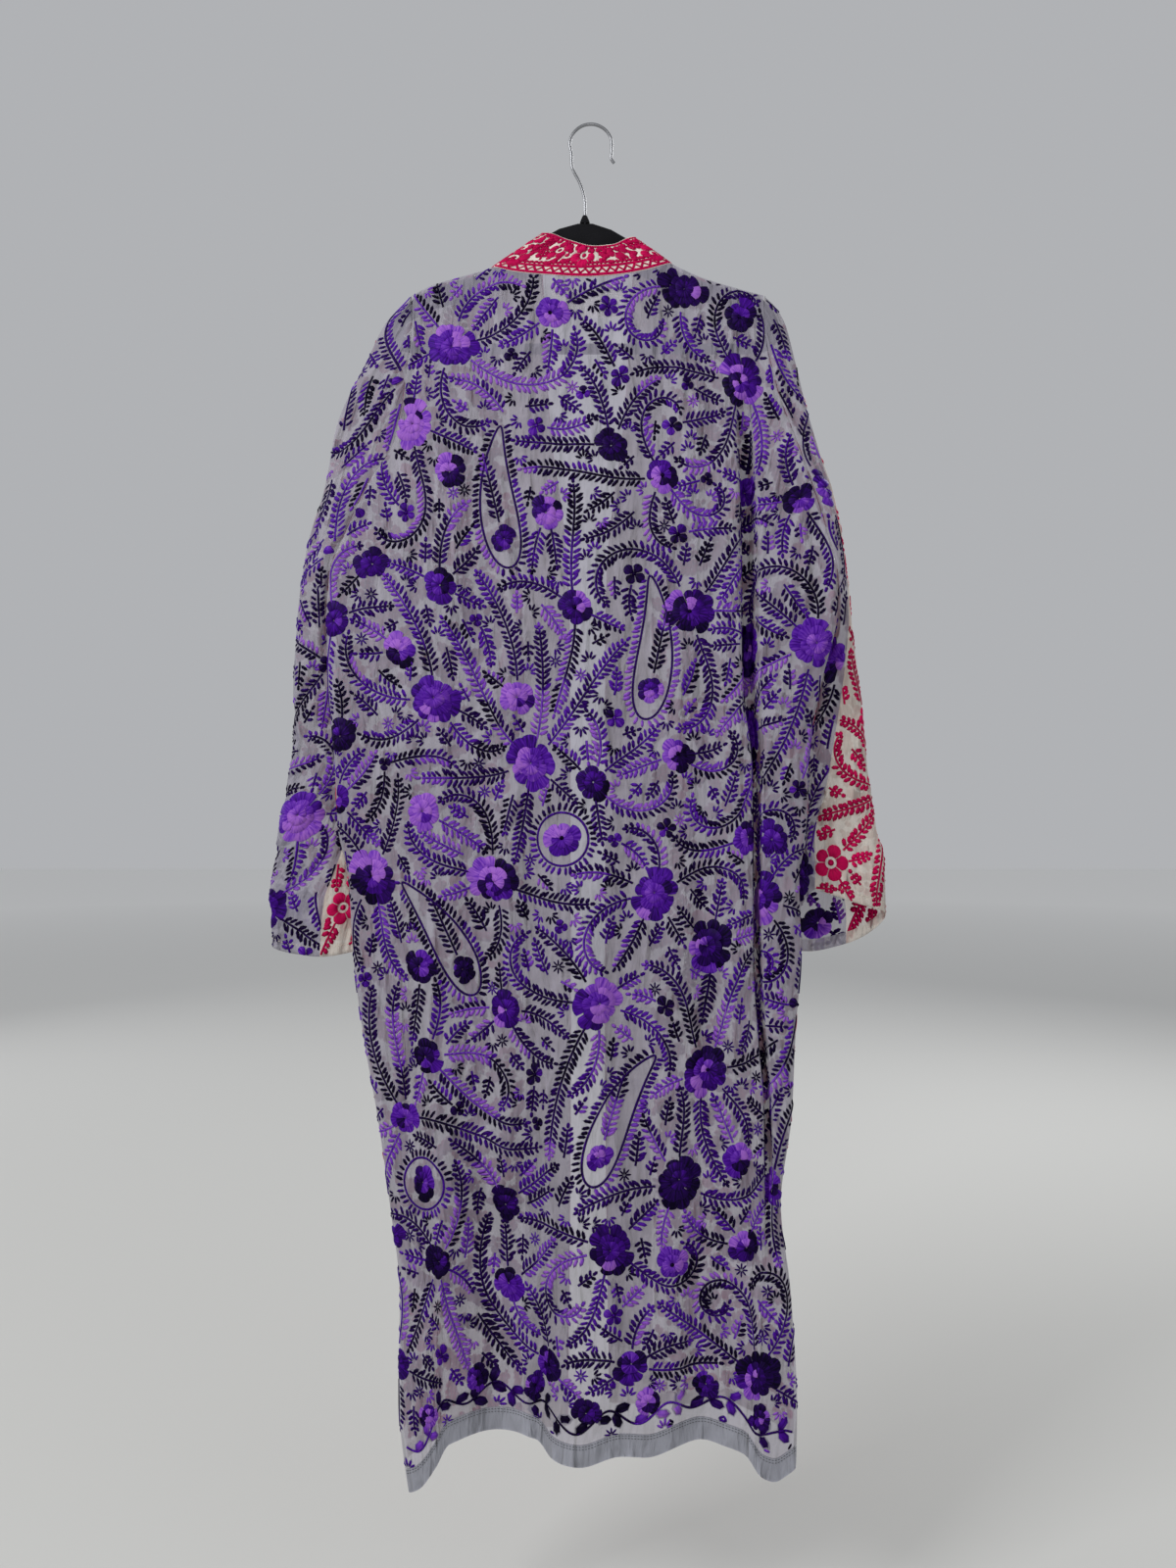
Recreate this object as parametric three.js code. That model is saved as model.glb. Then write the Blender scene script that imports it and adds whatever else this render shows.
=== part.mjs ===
// A long open kimono of sheer embroidered cloth, hung on a slim velvet clothes hanger with a wire hook.
// Millimetres, +Z up. The origin is where the hook rests: the inside top of its crook.
// The garment's back faces -Y and its open front faces +Y. X runs across, seen from the back.
import * as THREE from "three";
import { mergeVertices } from "three/addons/utils/BufferGeometryUtils.js";

// Driving dimensions
const CLOTH = 1.5; // wall of one layer of cloth
const DOUBLE_CLOTH = 2.2; // wall where the hem band is folded double
const SEAM = 0.3; // room between two pieces at a seam
const TOP_ROOM = 1.3; // more room at the very top of a seam, where several pieces meet
const HEM_BAND = 24; // height of the plain band along the back hem
const SHOULDER_ROLL = 4.8; // how far the cloth stands off the mid-plane where it rolls over the hanger
const ROLL_DROP = 5; // distance below the shoulder line in which it gets there
const SETTLE_DROP = 130; // distance below the shoulder line in which the full depth is reached
const NECK_DEPTH = 16; // how far the back neckline hangs behind the mid-plane
const SLIT_TOP = -1180; // the side seams are open below this height
const SLIT_SPREAD = 9; // how far back and front edges part at the bottom of the slit
const UNDERARM = { left: -497, right: -490 }; // height at which each sleeve leaves the side seam
const ARMHOLE_TOP = -184;
const ARMHOLE_GAP = 9; // half the room between back and front in the middle of an armhole
const HANGER_THICK = 5;
const HANGER_BEVEL = 1.2;
const WIRE = 3.3; // diameter of the hook's wire
const CROOK_RADIUS = 23; // middle line of the hook's crook

// Side lines of the body and the deep trough at the right of the back, with how far the back and
// front stand off the mid-plane, and where the side seams lie in depth
const BODY = [
  { z: -150, left: -192, troughIn: 150, troughOut: 164, right: 186, back: 9, front: 9, leftY: 0, rightY: 0 },
  { z: -214, left: -193, troughIn: 151, troughOut: 165, right: 187, back: 13, front: 11, leftY: 0, rightY: 0 },
  { z: -285, left: -200, troughIn: 155, troughOut: 169, right: 200, back: 19, front: 15, leftY: 0, rightY: 0 },
  { z: -345, left: -211, troughIn: 157, troughOut: 172, right: 221, back: 22, front: 18, leftY: -2, rightY: -3 },
  { z: -390, left: -238, troughIn: 158, troughOut: 175, right: 236, back: 25, front: 21, leftY: -6, rightY: -8 },
  { z: -443, left: -261, troughIn: 159, troughOut: 177, right: 251, back: 28, front: 24, leftY: -11, rightY: -15 },
  { z: -497, left: -280, troughIn: 159, troughOut: 177, right: 262, back: 30, front: 27, leftY: -16, rightY: -24 },
  { z: -532, left: -282, troughIn: 159, troughOut: 177, right: 261, back: 32, front: 28, leftY: -18, rightY: -28 },
  { z: -604, left: -280, troughIn: 160, troughOut: 177, right: 245, back: 34, front: 30, leftY: -19, rightY: -26 },
  { z: -690, left: -273, troughIn: 170, troughOut: 180, right: 231, back: 36, front: 32, leftY: -20, rightY: -25 },
  { z: -760, left: -269, troughIn: 171, troughOut: 180, right: 230, back: 38, front: 33, leftY: -21, rightY: -25 },
  { z: -812, left: -258, troughIn: 171, troughOut: 180, right: 221, back: 39, front: 34, leftY: -22, rightY: -26 },
  { z: -890, left: -253, troughIn: 171, troughOut: 180, right: 223, back: 40, front: 35, leftY: -23, rightY: -26 },
  { z: -977, left: -242, troughIn: 176, troughOut: 184, right: 217, back: 42, front: 36, leftY: -24, rightY: -27 },
  { z: -1060, left: -227, troughIn: 182, troughOut: 190, right: 213, back: 44, front: 37, leftY: -26, rightY: -28 },
  { z: -1155, left: -213, troughIn: 182, troughOut: 189, right: 201, back: 46, front: 38, leftY: -28, rightY: -30 },
  { z: -1250, left: -202, troughIn: 182, troughOut: 190, right: 211, back: 47, front: 39, leftY: -30, rightY: -32 },
  { z: -1360, left: -201, troughIn: 182, troughOut: 191, right: 216, back: 48, front: 40, leftY: -33, rightY: -34 },
  { z: -1480, left: -186, troughIn: 180, troughOut: 191, right: 212, back: 48, front: 40, leftY: -38, rightY: -38 },
];

// Depth of that trough, by height
const TROUGH = [
  { z: -290, depth: 0 },
  { z: -360, depth: 14 },
  { z: -450, depth: 25 },
  { z: -900, depth: 27 },
  { z: -1050, depth: 19 },
  { z: -1160, depth: 6 },
  { z: -1230, depth: 0 },
];

// Upper edge of the back: left shoulder, neckline between the collar's corners, right shoulder
const LEFT_SHOULDER = [
  { x: -192, z: -184 },
  { x: -173, z: -174 },
  { x: -141, z: -164 },
  { x: -108, z: -155 },
];
const NECKLINE = [
  { x: -108, z: -155 },
  { x: -81, z: -163 },
  { x: -50, z: -167 },
  { x: -8, z: -170 },
  { x: 23, z: -168 },
  { x: 56, z: -162 },
  { x: 89, z: -151 },
];
const RIGHT_SHOULDER = [
  { x: 89, z: -151 },
  { x: 121, z: -165 },
  { x: 160, z: -177 },
  { x: 186, z: -184 },
];

// Lower edge of the hem band, from the left corner to the right
const HEM = [
  { x: -200, z: -1452 },
  { x: -182, z: -1445 },
  { x: -162, z: -1424 },
  { x: -146, z: -1402 },
  { x: -112, z: -1398 },
  { x: -80, z: -1398 },
  { x: -60, z: -1402 },
  { x: -42, z: -1417 },
  { x: -12, z: -1422 },
  { x: 30, z: -1413 },
  { x: 55, z: -1414 },
  { x: 90, z: -1405 },
  { x: 115, z: -1403 },
  { x: 140, z: -1407 },
  { x: 160, z: -1412 },
  { x: 178, z: -1433 },
  { x: 192, z: -1437 },
  { x: 204, z: -1432 },
  { x: 216, z: -1424 },
];

// Hanging folds of the back. Depth is positive for a trough and negative for a ridge; lean is how
// far the fold wanders sideways from its top to its bottom
const BACK_FOLDS = [
  { x: -236, width: 15, depth: 7, top: -560, bottom: -1000, lean: 18 },
  { x: -168, width: 26, depth: -8, top: -400, bottom: -1500, lean: 12 },
  { x: -118, width: 16, depth: 13, top: -350, bottom: -1290, lean: 6 },
  { x: -92, width: 13, depth: -6, top: -480, bottom: -1200, lean: 4 },
  { x: -66, width: 14, depth: 9, top: -520, bottom: -1260, lean: 6 },
  { x: -18, width: 26, depth: -9, top: -700, bottom: -1500, lean: 4 },
  { x: 42, width: 15, depth: 8, top: -420, bottom: -1330, lean: 6 },
  { x: 82, width: 20, depth: -7, top: -640, bottom: -1500, lean: 2 },
  { x: 120, width: 12, depth: 10, top: -380, bottom: -1180, lean: 4 },
  { x: 145, width: 12, depth: -7, top: -420, bottom: -1200, lean: 8 },
  { x: 204, width: 12, depth: -8, top: -380, bottom: -900, lean: -2 },
  { x: -104, width: 30, depth: 27, top: -1080, bottom: -1560, lean: 6 },
  { x: -50, width: 7, depth: 12, top: -1220, bottom: -1560, lean: -3 },
  { x: -186, width: 17, depth: -15, top: -1200, bottom: -1560, lean: 2 },
  { x: 112, width: 20, depth: 16, top: -1120, bottom: -1560, lean: 2 },
  { x: 190, width: 17, depth: -15, top: -1190, bottom: -1560, lean: 0 },
];

// Hanging folds of the two fronts
const FRONT_FOLDS = [
  { x: -212, width: 18, depth: -9, top: -520, bottom: -1560, lean: 14 },
  { x: -160, width: 20, depth: 9, top: -420, bottom: -1560, lean: 10 },
  { x: -112, width: 15, depth: -10, top: -480, bottom: -1560, lean: 4 },
  { x: 104, width: 16, depth: -9, top: -460, bottom: -1560, lean: -2 },
  { x: 146, width: 17, depth: 8, top: -420, bottom: -1560, lean: 4 },
  { x: 192, width: 16, depth: -8, top: -560, bottom: -1560, lean: 4 },
];

// Seam between each front and the collar band
const FRONT_EDGE = [
  { z: -150, left: -108, right: 89 },
  { z: -215, left: -100, right: 84 },
  { z: -300, left: -90, right: 78 },
  { z: -420, left: -78, right: 70 },
  { z: -560, left: -73, right: 66 },
  { z: -1000, left: -72, right: 66 },
  { z: -1480, left: -76, right: 72 },
];

// Sleeves: outer side line, inner side line below the underarm, depth of the middle line, half depth,
// and where the two lengthwise seams lie, in degrees from the outer side line towards the back
const LEFT_SLEEVE = [
  { z: -184, outer: -192, inner: -192, outerY: 0, innerY: 0, half: 4, outerSeam: 0, innerSeam: 180 },
  { z: -201, outer: -210, inner: -192, outerY: 0, innerY: 0, half: 5, outerSeam: 0, innerSeam: 180 },
  { z: -214, outer: -222, inner: -193, outerY: 0, innerY: 0, half: 6, outerSeam: 0, innerSeam: 180 },
  { z: -248, outer: -239, inner: -196, outerY: 0, innerY: 0, half: 8, outerSeam: 0, innerSeam: 180 },
  { z: -326, outer: -275, inner: -208, outerY: 0, innerY: 0, half: 11, outerSeam: 0, innerSeam: 180 },
  { z: -388, outer: -287, inner: -237, outerY: 1, innerY: -6, half: 12, outerSeam: 0, innerSeam: 180 },
  { z: -455, outer: -307, inner: -266, outerY: 2, innerY: -12, half: 12, outerSeam: 0, innerSeam: 180 },
  { z: -497, outer: -314, inner: -281, outerY: 3, innerY: -16, half: 12, outerSeam: -3, innerSeam: 180 },
  { z: -504, outer: -315, inner: -282, outerY: 3, innerY: -14, half: 12, outerSeam: -3, innerSeam: 180 },
  { z: -540, outer: -319, inner: -282, outerY: 5, innerY: -3, half: 12, outerSeam: -6, innerSeam: 180 },
  { z: -575, outer: -322, inner: -275, outerY: 8, innerY: 7, half: 13, outerSeam: -12, innerSeam: 178 },
  { z: -606, outer: -324, inner: -262, outerY: 10, innerY: 14, half: 13, outerSeam: -18, innerSeam: 172 },
  { z: -670, outer: -325, inner: -250, outerY: 12, innerY: 18, half: 14, outerSeam: -32, innerSeam: 156 },
  { z: -734, outer: -337, inner: -242, outerY: 12, innerY: 20, half: 15, outerSeam: -48, innerSeam: 132 },
  { z: -808, outer: -347, inner: -238, outerY: 12, innerY: 20, half: 15, outerSeam: -70, innerSeam: 101 },
  { z: -829, outer: -350, inner: -237, outerY: 12, innerY: 20, half: 16, outerSeam: -76, innerSeam: 94 },
  { z: -890, outer: -347, inner: -236, outerY: 12, innerY: 20, half: 16, outerSeam: -84, innerSeam: 88 },
  { z: -920, outer: -346, inner: -236, outerY: 12, innerY: 20, half: 16, outerSeam: -84, innerSeam: 88 },
];
const RIGHT_SLEEVE = [
  { z: -184, outer: 186, inner: 186, outerY: 0, innerY: 0, half: 4, outerSeam: 0, innerSeam: 180 },
  { z: -198, outer: 201, inner: 186, outerY: 0, innerY: 0, half: 5, outerSeam: 0, innerSeam: 180 },
  { z: -217, outer: 211, inner: 187, outerY: 0, innerY: 0, half: 6, outerSeam: 0, innerSeam: 180 },
  { z: -239, outer: 217, inner: 191, outerY: 0, innerY: 0, half: 8, outerSeam: 2, innerSeam: 180 },
  { z: -319, outer: 237, inner: 210, outerY: 0, innerY: 0, half: 11, outerSeam: 8, innerSeam: 180 },
  { z: -358, outer: 249, inner: 225, outerY: 0, innerY: -5, half: 11, outerSeam: 40, innerSeam: 180 },
  { z: -393, outer: 261, inner: 237, outerY: 0, innerY: -9, half: 11, outerSeam: 52, innerSeam: 180 },
  { z: -437, outer: 271, inner: 249, outerY: 1, innerY: -14, half: 11, outerSeam: 60, innerSeam: 180 },
  { z: -483, outer: 277, inner: 260, outerY: 2, innerY: -22, half: 11, outerSeam: 62, innerSeam: 180 },
  { z: -497, outer: 279, inner: 263, outerY: 2, innerY: -22, half: 11, outerSeam: 62, innerSeam: 180 },
  { z: -530, outer: 282, inner: 263, outerY: 3, innerY: -15, half: 10, outerSeam: 64, innerSeam: 180 },
  { z: -565, outer: 286, inner: 252, outerY: 4, innerY: -3, half: 11, outerSeam: 67, innerSeam: 186 },
  { z: -608, outer: 292, inner: 236, outerY: 6, innerY: 8, half: 12, outerSeam: 73, innerSeam: 200 },
  { z: -690, outer: 301, inner: 218, outerY: 8, innerY: 14, half: 14, outerSeam: 87, innerSeam: 240 },
  { z: -757, outer: 310, inner: 205, outerY: 8, innerY: 18, half: 15, outerSeam: 96, innerSeam: 264 },
  { z: -819, outer: 320, inner: 202, outerY: 8, innerY: 20, half: 16, outerSeam: 107, innerSeam: 286 },
  { z: -858, outer: 321, inner: 202, outerY: 8, innerY: 20, half: 16, outerSeam: 108, innerSeam: 290 },
  { z: -920, outer: 320, inner: 202, outerY: 8, innerY: 20, half: 16, outerSeam: 108, innerSeam: 290 },
];

// Height of each cuff's edge round the sleeve, by the same angle
const LEFT_CUFF = [
  { angle: -90, z: -886 },
  { angle: 0, z: -889 },
  { angle: 60, z: -896 },
  { angle: 90, z: -899 },
  { angle: 135, z: -893 },
  { angle: 180, z: -889 },
  { angle: 225, z: -884 },
  { angle: 270, z: -886 },
];
const RIGHT_CUFF = [
  { angle: 0, z: -855 },
  { angle: 60, z: -842 },
  { angle: 107, z: -826 },
  { angle: 128, z: -850 },
  { angle: 160, z: -884 },
  { angle: 200, z: -892 },
  { angle: 250, z: -897 },
  { angle: 290, z: -888 },
  { angle: 360, z: -855 },
  { angle: 420, z: -842 },
  { angle: 467, z: -826 },
];

// The collar band, with the two points where it folds over the hanger, and the line of its free
// edge between them, round the back of the neck
const BAND_WIDTH = 50;
const PEAKS = { left: { x: -53, z: -118 }, right: { x: 48, z: -122 } };
const COLLAR_ROLL = 5.2; // how far the band stands off the mid-plane once past the hanger
const FREE_EDGE_DEPTH = 5.3; // how much further its free edge stands in the middle of the back
const FREE_EDGE = [
  { x: -53, z: -118 },
  { x: -42, z: -120 },
  { x: -25, z: -127 },
  { x: 4, z: -134 },
  { x: 24, z: -132 },
  { x: 39, z: -125 },
  { x: 48, z: -122 },
];

// Smooth reading of one column of a table whose key only falls or only rises from row to row
function smooth(table, key, at, column) {
  const last = table.length - 1;
  const rising = table[last][key] > table[0][key];
  const value = (i) => table[i][column];
  if (rising ? at <= table[0][key] : at >= table[0][key]) return value(0);
  if (rising ? at >= table[last][key] : at <= table[last][key]) return value(last);
  let i = 0;
  while (rising ? table[i + 1][key] < at : table[i + 1][key] > at) i += 1;
  const slope = (a, b) => (value(b) - value(a)) / (table[b][key] - table[a][key]);
  const tangent = (j) => {
    if (j === 0) return slope(0, 1);
    if (j === last) return slope(last - 1, last);
    const before = slope(j - 1, j);
    const after = slope(j, j + 1);
    return before * after <= 0 ? 0 : (2 * before * after) / (before + after);
  };
  const span = table[i + 1][key] - table[i][key];
  const s = (at - table[i][key]) / span;
  const m0 = tangent(i) * span;
  const m1 = tangent(i + 1) * span;
  const p0 = value(i);
  const p1 = value(i + 1);
  return (2 * s ** 3 - 3 * s ** 2 + 1) * p0 + (s ** 3 - 2 * s ** 2 + s) * m0
    + (3 * s ** 2 - 2 * s ** 3) * p1 + (s ** 3 - s ** 2) * m1;
}

const TOP_Z = -150; // height at which the columns are counted out along the shoulders
const HEM_Z = -1420; // and along the hem

const mix = (a, b, s) => a + (b - a) * s;
const clamp01 = (s) => Math.min(1, Math.max(0, s));
const ease = (s) => clamp01(s) ** 2 * (3 - 2 * clamp01(s));
const bell = (s) => Math.exp(-0.5 * s * s);
const body = (z, column) => smooth(BODY, "z", z, column);

// Quarter-round rise from 0 to 1 as s goes from 0 to 1
const quarter = (s) => Math.sqrt(1 - (1 - clamp01(s)) ** 2);

// Where the neckline meets the shoulders
const CORNERS = { left: NECKLINE[0].x, right: NECKLINE[NECKLINE.length - 1].x };

// Height of the upper edge above a place across the back
function shoulderLine(x) {
  if (x < CORNERS.left) return smooth(LEFT_SHOULDER, "x", x, "z");
  if (x > CORNERS.right) return smooth(RIGHT_SHOULDER, "x", x, "z");
  return smooth(NECKLINE, "x", x, "z");
}

// How far the back neckline stands off the mid-plane: nothing on the shoulders, most in the middle
function neckDepth(x) {
  const inside = Math.min(x - CORNERS.left, CORNERS.right - x);
  if (inside <= 0) return 0;
  const across = 1 - (2 * inside) / (CORNERS.right - CORNERS.left);
  return COLLAR_ROLL * quarter(inside / 5) + (NECK_DEPTH - COLLAR_ROLL) * Math.sqrt(1 - across * across);
}

// Direction straight out from the neckline, level with the floor
function neckNormal(x) {
  const slope = neckDepth(x + 0.5) - neckDepth(x - 0.5);
  return new THREE.Vector3(-slope, -1, 0);
}

// Half the room between back and front at the side edge: open at the armhole, closed down the side
// seam, and parted again at the slit
function sideGap(side, z) {
  const under = UNDERARM[side];
  const armhole = ARMHOLE_GAP * ease((ARMHOLE_TOP - z) / 90) * ease((z - under + 7) / 24);
  const slit = SLIT_SPREAD * ease((SLIT_TOP - z) / 220);
  return SEAM / 2 + armhole + slit;
}

// Sum of the folds that reach a point
function foldDepth(folds, x, z) {
  let sum = 0;
  for (const fold of folds) {
    const run = clamp01((fold.top - z) / (fold.top - fold.bottom));
    if (run <= 0) continue;
    const middle = fold.x + fold.lean * run;
    const fadeOut = ease((z - fold.bottom) / 110);
    sum += fold.depth * ease(run * 4) * mix(0.6, 1, run) * fadeOut * bell((x - middle) / fold.width);
  }
  return sum;
}

// Depth of the body's cloth at a place, before the folds: a flat lens across, which closes to the
// side seams, and at the top a roll over the hanger
function lensDepth(x, z, topZ, topDepth, reach) {
  const left = body(z, "left");
  const right = body(z, "right");
  const across = Math.max(-1, Math.min(1, (2 * x - left - right) / (right - left)));
  const side = across < 0 ? "left" : "right";
  const lens = reach * Math.sqrt(Math.max(0, 1 - Math.abs(across) ** 2.4))
    + sideGap(side, z) * Math.abs(across) ** 24;
  const drop = Math.max(0, topZ - z);
  const onShoulder = 1 - ease(topDepth / 6);
  const start = SEAM / 2 + topDepth;
  const roll = SHOULDER_ROLL * onShoulder * quarter(drop / ROLL_DROP);
  const depth = start + roll + (lens - start - SHOULDER_ROLL * onShoulder) * ease(drop / SETTLE_DROP);
  const seamShift = body(z, side === "left" ? "leftY" : "rightY") * Math.abs(across) ** 4;
  const inside = 1 - Math.abs(across) ** 6;
  return { depth, seamShift, inside: inside * ease(drop / 60) };
}

function backY(x, z, topZ) {
  const { depth, seamShift, inside } = lensDepth(x, z, topZ, neckDepth(x), body(z, "back"));
  const inner = body(z, "troughIn");
  const outer = body(z, "troughOut");
  const across = (x - (inner + outer) / 2) / ((outer - inner) / 2);
  const steep = ease((1.15 - Math.abs(across)) / 0.75);
  const trough = smooth(TROUGH, "z", z, "depth") * steep;
  return seamShift - depth + foldDepth(BACK_FOLDS, x, z) * inside + trough;
}

function frontY(x, z, topZ) {
  const { depth, seamShift, inside } = lensDepth(x, z, topZ, 0, body(z, "front"));
  return seamShift + depth + foldDepth(FRONT_FOLDS, x, z) * inside;
}

// Heights of the rows down the side edge, as parts of the way from the armhole's top to the hem
const SIDE_DROPS = [0, 1.2, 4, 12, 28, 55, 95, 140, 185, 230, 272, 313, 320];
const LOWER_ROWS = 18;
const SIDE_LENGTH = 1244;
const LAST_DROP = SIDE_DROPS[SIDE_DROPS.length - 1];
const ROW_PARTS = [
  ...SIDE_DROPS.map((drop) => drop / SIDE_LENGTH),
  ...Array.from({ length: LOWER_ROWS }, (_, i) => mix(LAST_DROP / SIDE_LENGTH, 1, (i + 1) / LOWER_ROWS)),
];
const ROWS = ROW_PARTS.length - 1;
const UNDERARM_ROW = SIDE_DROPS.length - 2;

// A closed wall of cloth between an outer grid of points and the same grid moved in along its
// normals. seamNormal may turn the direction of the wall's thickness at a seam
function clothWall(grid, thickness, seamNormal = () => null) {
  const rows = grid.length;
  const cols = grid[0].length;
  const inner = grid.map((row, r) => row.map((point, c) => {
    const across = grid[r][Math.min(cols - 1, c + 1)].clone().sub(grid[r][Math.max(0, c - 1)]);
    const down = grid[Math.min(rows - 1, r + 1)][c].clone().sub(grid[Math.max(0, r - 1)][c]);
    const normal = down.cross(across).normalize();
    const direction = (seamNormal(r, c, normal) ?? normal).normalize();
    return point.clone().addScaledVector(direction, -thickness);
  }));
  const positions = [];
  const face = (a, b, c, d) => {
    for (const point of [a, b, c, a, c, d]) positions.push(point.x, point.y, point.z);
  };
  for (let r = 0; r < rows - 1; r += 1) {
    for (let c = 0; c < cols - 1; c += 1) {
      face(grid[r][c], grid[r + 1][c], grid[r + 1][c + 1], grid[r][c + 1]);
      face(inner[r][c], inner[r][c + 1], inner[r + 1][c + 1], inner[r + 1][c]);
    }
  }
  const end = rows - 1;
  const edge = cols - 1;
  for (let c = 0; c < edge; c += 1) {
    face(grid[0][c], grid[0][c + 1], inner[0][c + 1], inner[0][c]);
    face(grid[end][c], inner[end][c], inner[end][c + 1], grid[end][c + 1]);
  }
  for (let r = 0; r < end; r += 1) {
    face(grid[r + 1][0], grid[r][0], inner[r][0], inner[r + 1][0]);
    face(grid[r + 1][edge], inner[r + 1][edge], inner[r][edge], grid[r][edge]);
  }
  const geometry = new THREE.BufferGeometry();
  geometry.setAttribute("position", new THREE.Float32BufferAttribute(positions, 3));
  return mergeVertices(geometry, 1e-4);
}

const INWARD = { left: 1, right: -1 }; // sign of x towards the middle of the garment

const gridOf = (rows, cols, at) => Array.from({ length: rows + 1 }, (_, r) => (
  Array.from({ length: cols + 1 }, (_, c) => at(r, c))));
const mirrored = (grid) => grid.map((row) => [...row].reverse());

// Direction of the wall's thickness along a side edge: sideways at the side seam, towards the back
// or front at the armhole, and up on the shoulder
function edgeNormal(side, z, drop, towardsY) {
  const open = ease((z - UNDERARM[side] + 6) / 6);
  const sideways = -INWARD[side] * mix(1, 0.2, open);
  const up = 1 - ease(drop / 8);
  return new THREE.Vector3(sideways * (1 - up), towardsY * mix(0.02, 0.98, open) * (1 - up), up);
}

// The same at the collar's corners, where back, front and band meet
const cornerNormal = (side) => new THREE.Vector3(-0.6 * INWARD[side], 0, 0.8);

// Columns of the back, zone by zone, each as parts of the way between two of its lines
const BACK_ZONES = [
  { from: "left", to: "neckLeft", parts: [0, 0.012, 0.045, 0.11, 0.2, 0.32, 0.45, 0.58, 0.72, 0.86] },
  { from: "neckLeft", to: "neckRight", parts: [0, 0.02, 0.06, 0.14, 0.25, 0.37, 0.5, 0.62, 0.74, 0.85, 0.94, 0.98] },
  { from: "neckRight", to: "troughIn", parts: [0, 0.25, 0.5, 0.75, 0.93] },
  { from: "troughIn", to: "troughOut", parts: [0, 0.3, 0.7] },
  { from: "troughOut", to: "right", parts: [0, 0.18, 0.42, 0.7, 0.9, 0.98, 1] },
];
const BACK_COLUMNS = BACK_ZONES.flatMap(({ from, to, parts }) => parts.map((part) => ({ from, to, part })));
const NECK_LINES = { neckLeft: CORNERS.left, neckRight: CORNERS.right };
const NECK_DRIFT = 0.14; // part by which the lines below the collar's corners draw in at the hem

const FIRST_NECK = BACK_ZONES[0].parts.length;
const LAST_NECK = FIRST_NECK + BACK_ZONES[1].parts.length;

function backLine(line, z) {
  if (line in NECK_LINES) return NECK_LINES[line] * (1 - NECK_DRIFT * ease(z / HEM_Z));
  return body(z, line);
}

function backX(column, z) {
  const { from, to, part } = BACK_COLUMNS[column];
  return mix(backLine(from, z), backLine(to, z), part);
}

const lastColumn = BACK_COLUMNS.length - 1;
const backTop = (column) => shoulderLine(backX(column, TOP_Z));
const backHem = (column) => smooth(HEM, "x", backX(column, HEM_Z), "z");
const backZ = (row, column) => mix(backTop(column), backHem(column) + HEM_BAND, ROW_PARTS[row]);

function backPoint(column, z) {
  const x = backX(column, z);
  return new THREE.Vector3(x, backY(x, z, backTop(column)), z);
}

// Direction of the wall's thickness where the back meets the hem band, level with the floor
function hemNormal(column) {
  if (column === 0) return new THREE.Vector3(-1, 0, 0);
  if (column === lastColumn) return new THREE.Vector3(1, 0, 0);
  const before = backPoint(column - 1, backHem(column - 1) + HEM_BAND);
  const after = backPoint(column + 1, backHem(column + 1) + HEM_BAND);
  return new THREE.Vector3(after.y - before.y, before.x - after.x, 0);
}

function backPanel() {
  const grid = gridOf(ROWS, lastColumn, (r, c) => backPoint(c, backZ(r, c)));
  return clothWall(grid, CLOTH, (r, c) => {
    const z = backZ(r, c);
    const drop = backTop(c) - z;
    if (c === 0) return edgeNormal("left", z, drop, -1);
    if (c === lastColumn) return edgeNormal("right", z, drop, -1);
    if (r === 0) return topNormal(c);
    if (r === ROWS) return hemNormal(c);
    return null;
  });
}

// Direction of the wall's thickness along the back's upper edge
function topNormal(column) {
  if (column === FIRST_NECK) return cornerNormal("left");
  if (column === LAST_NECK) return cornerNormal("right");
  if (column < FIRST_NECK || column > LAST_NECK) return new THREE.Vector3(0, 0, 1);
  return neckNormal(backX(column, TOP_Z));
}

function hemBand() {
  const grid = gridOf(2, lastColumn, (r, c) => {
    const top = backHem(c) + HEM_BAND - SEAM;
    return backPoint(c, mix(top, backHem(c), r / 2));
  });
  return clothWall(grid, DOUBLE_CLOTH, (r, c) => hemNormal(c));
}

// The fronts: from the side edge, column 0, to the seam with the collar band
const FRONT_PARTS = [0, 0.014, 0.05, 0.12, 0.22, 0.33, 0.45, 0.57, 0.69, 0.8, 0.9, 1];
const FRONT_DIP = 8; // how far the fronts' hems curve up in their middle
const frontLast = FRONT_PARTS.length - 1;

function frontX(side, column, z) {
  const edge = smooth(FRONT_EDGE, "z", z, side);
  return mix(body(z, side), edge, FRONT_PARTS[column]);
}

function frontZ(side, row, column) {
  const top = shoulderLine(frontX(side, column, TOP_Z));
  const sideColumn = side === "left" ? 0 : lastColumn;
  const bottom = backHem(sideColumn) + HEM_BAND;
  const dip = FRONT_DIP * Math.sin(Math.PI * FRONT_PARTS[column]);
  return mix(top, bottom + dip, ROW_PARTS[row]);
}

function frontPoint(side, column, z) {
  const x = frontX(side, column, z);
  return new THREE.Vector3(x, frontY(x, z, shoulderLine(frontX(side, column, TOP_Z))), z);
}

// Direction of the wall's thickness along the seam with the collar band
function frontSeamNormal(side, drop) {
  return cornerNormal(side).lerp(new THREE.Vector3(0, 1, 0), ease(drop / 10));
}

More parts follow.
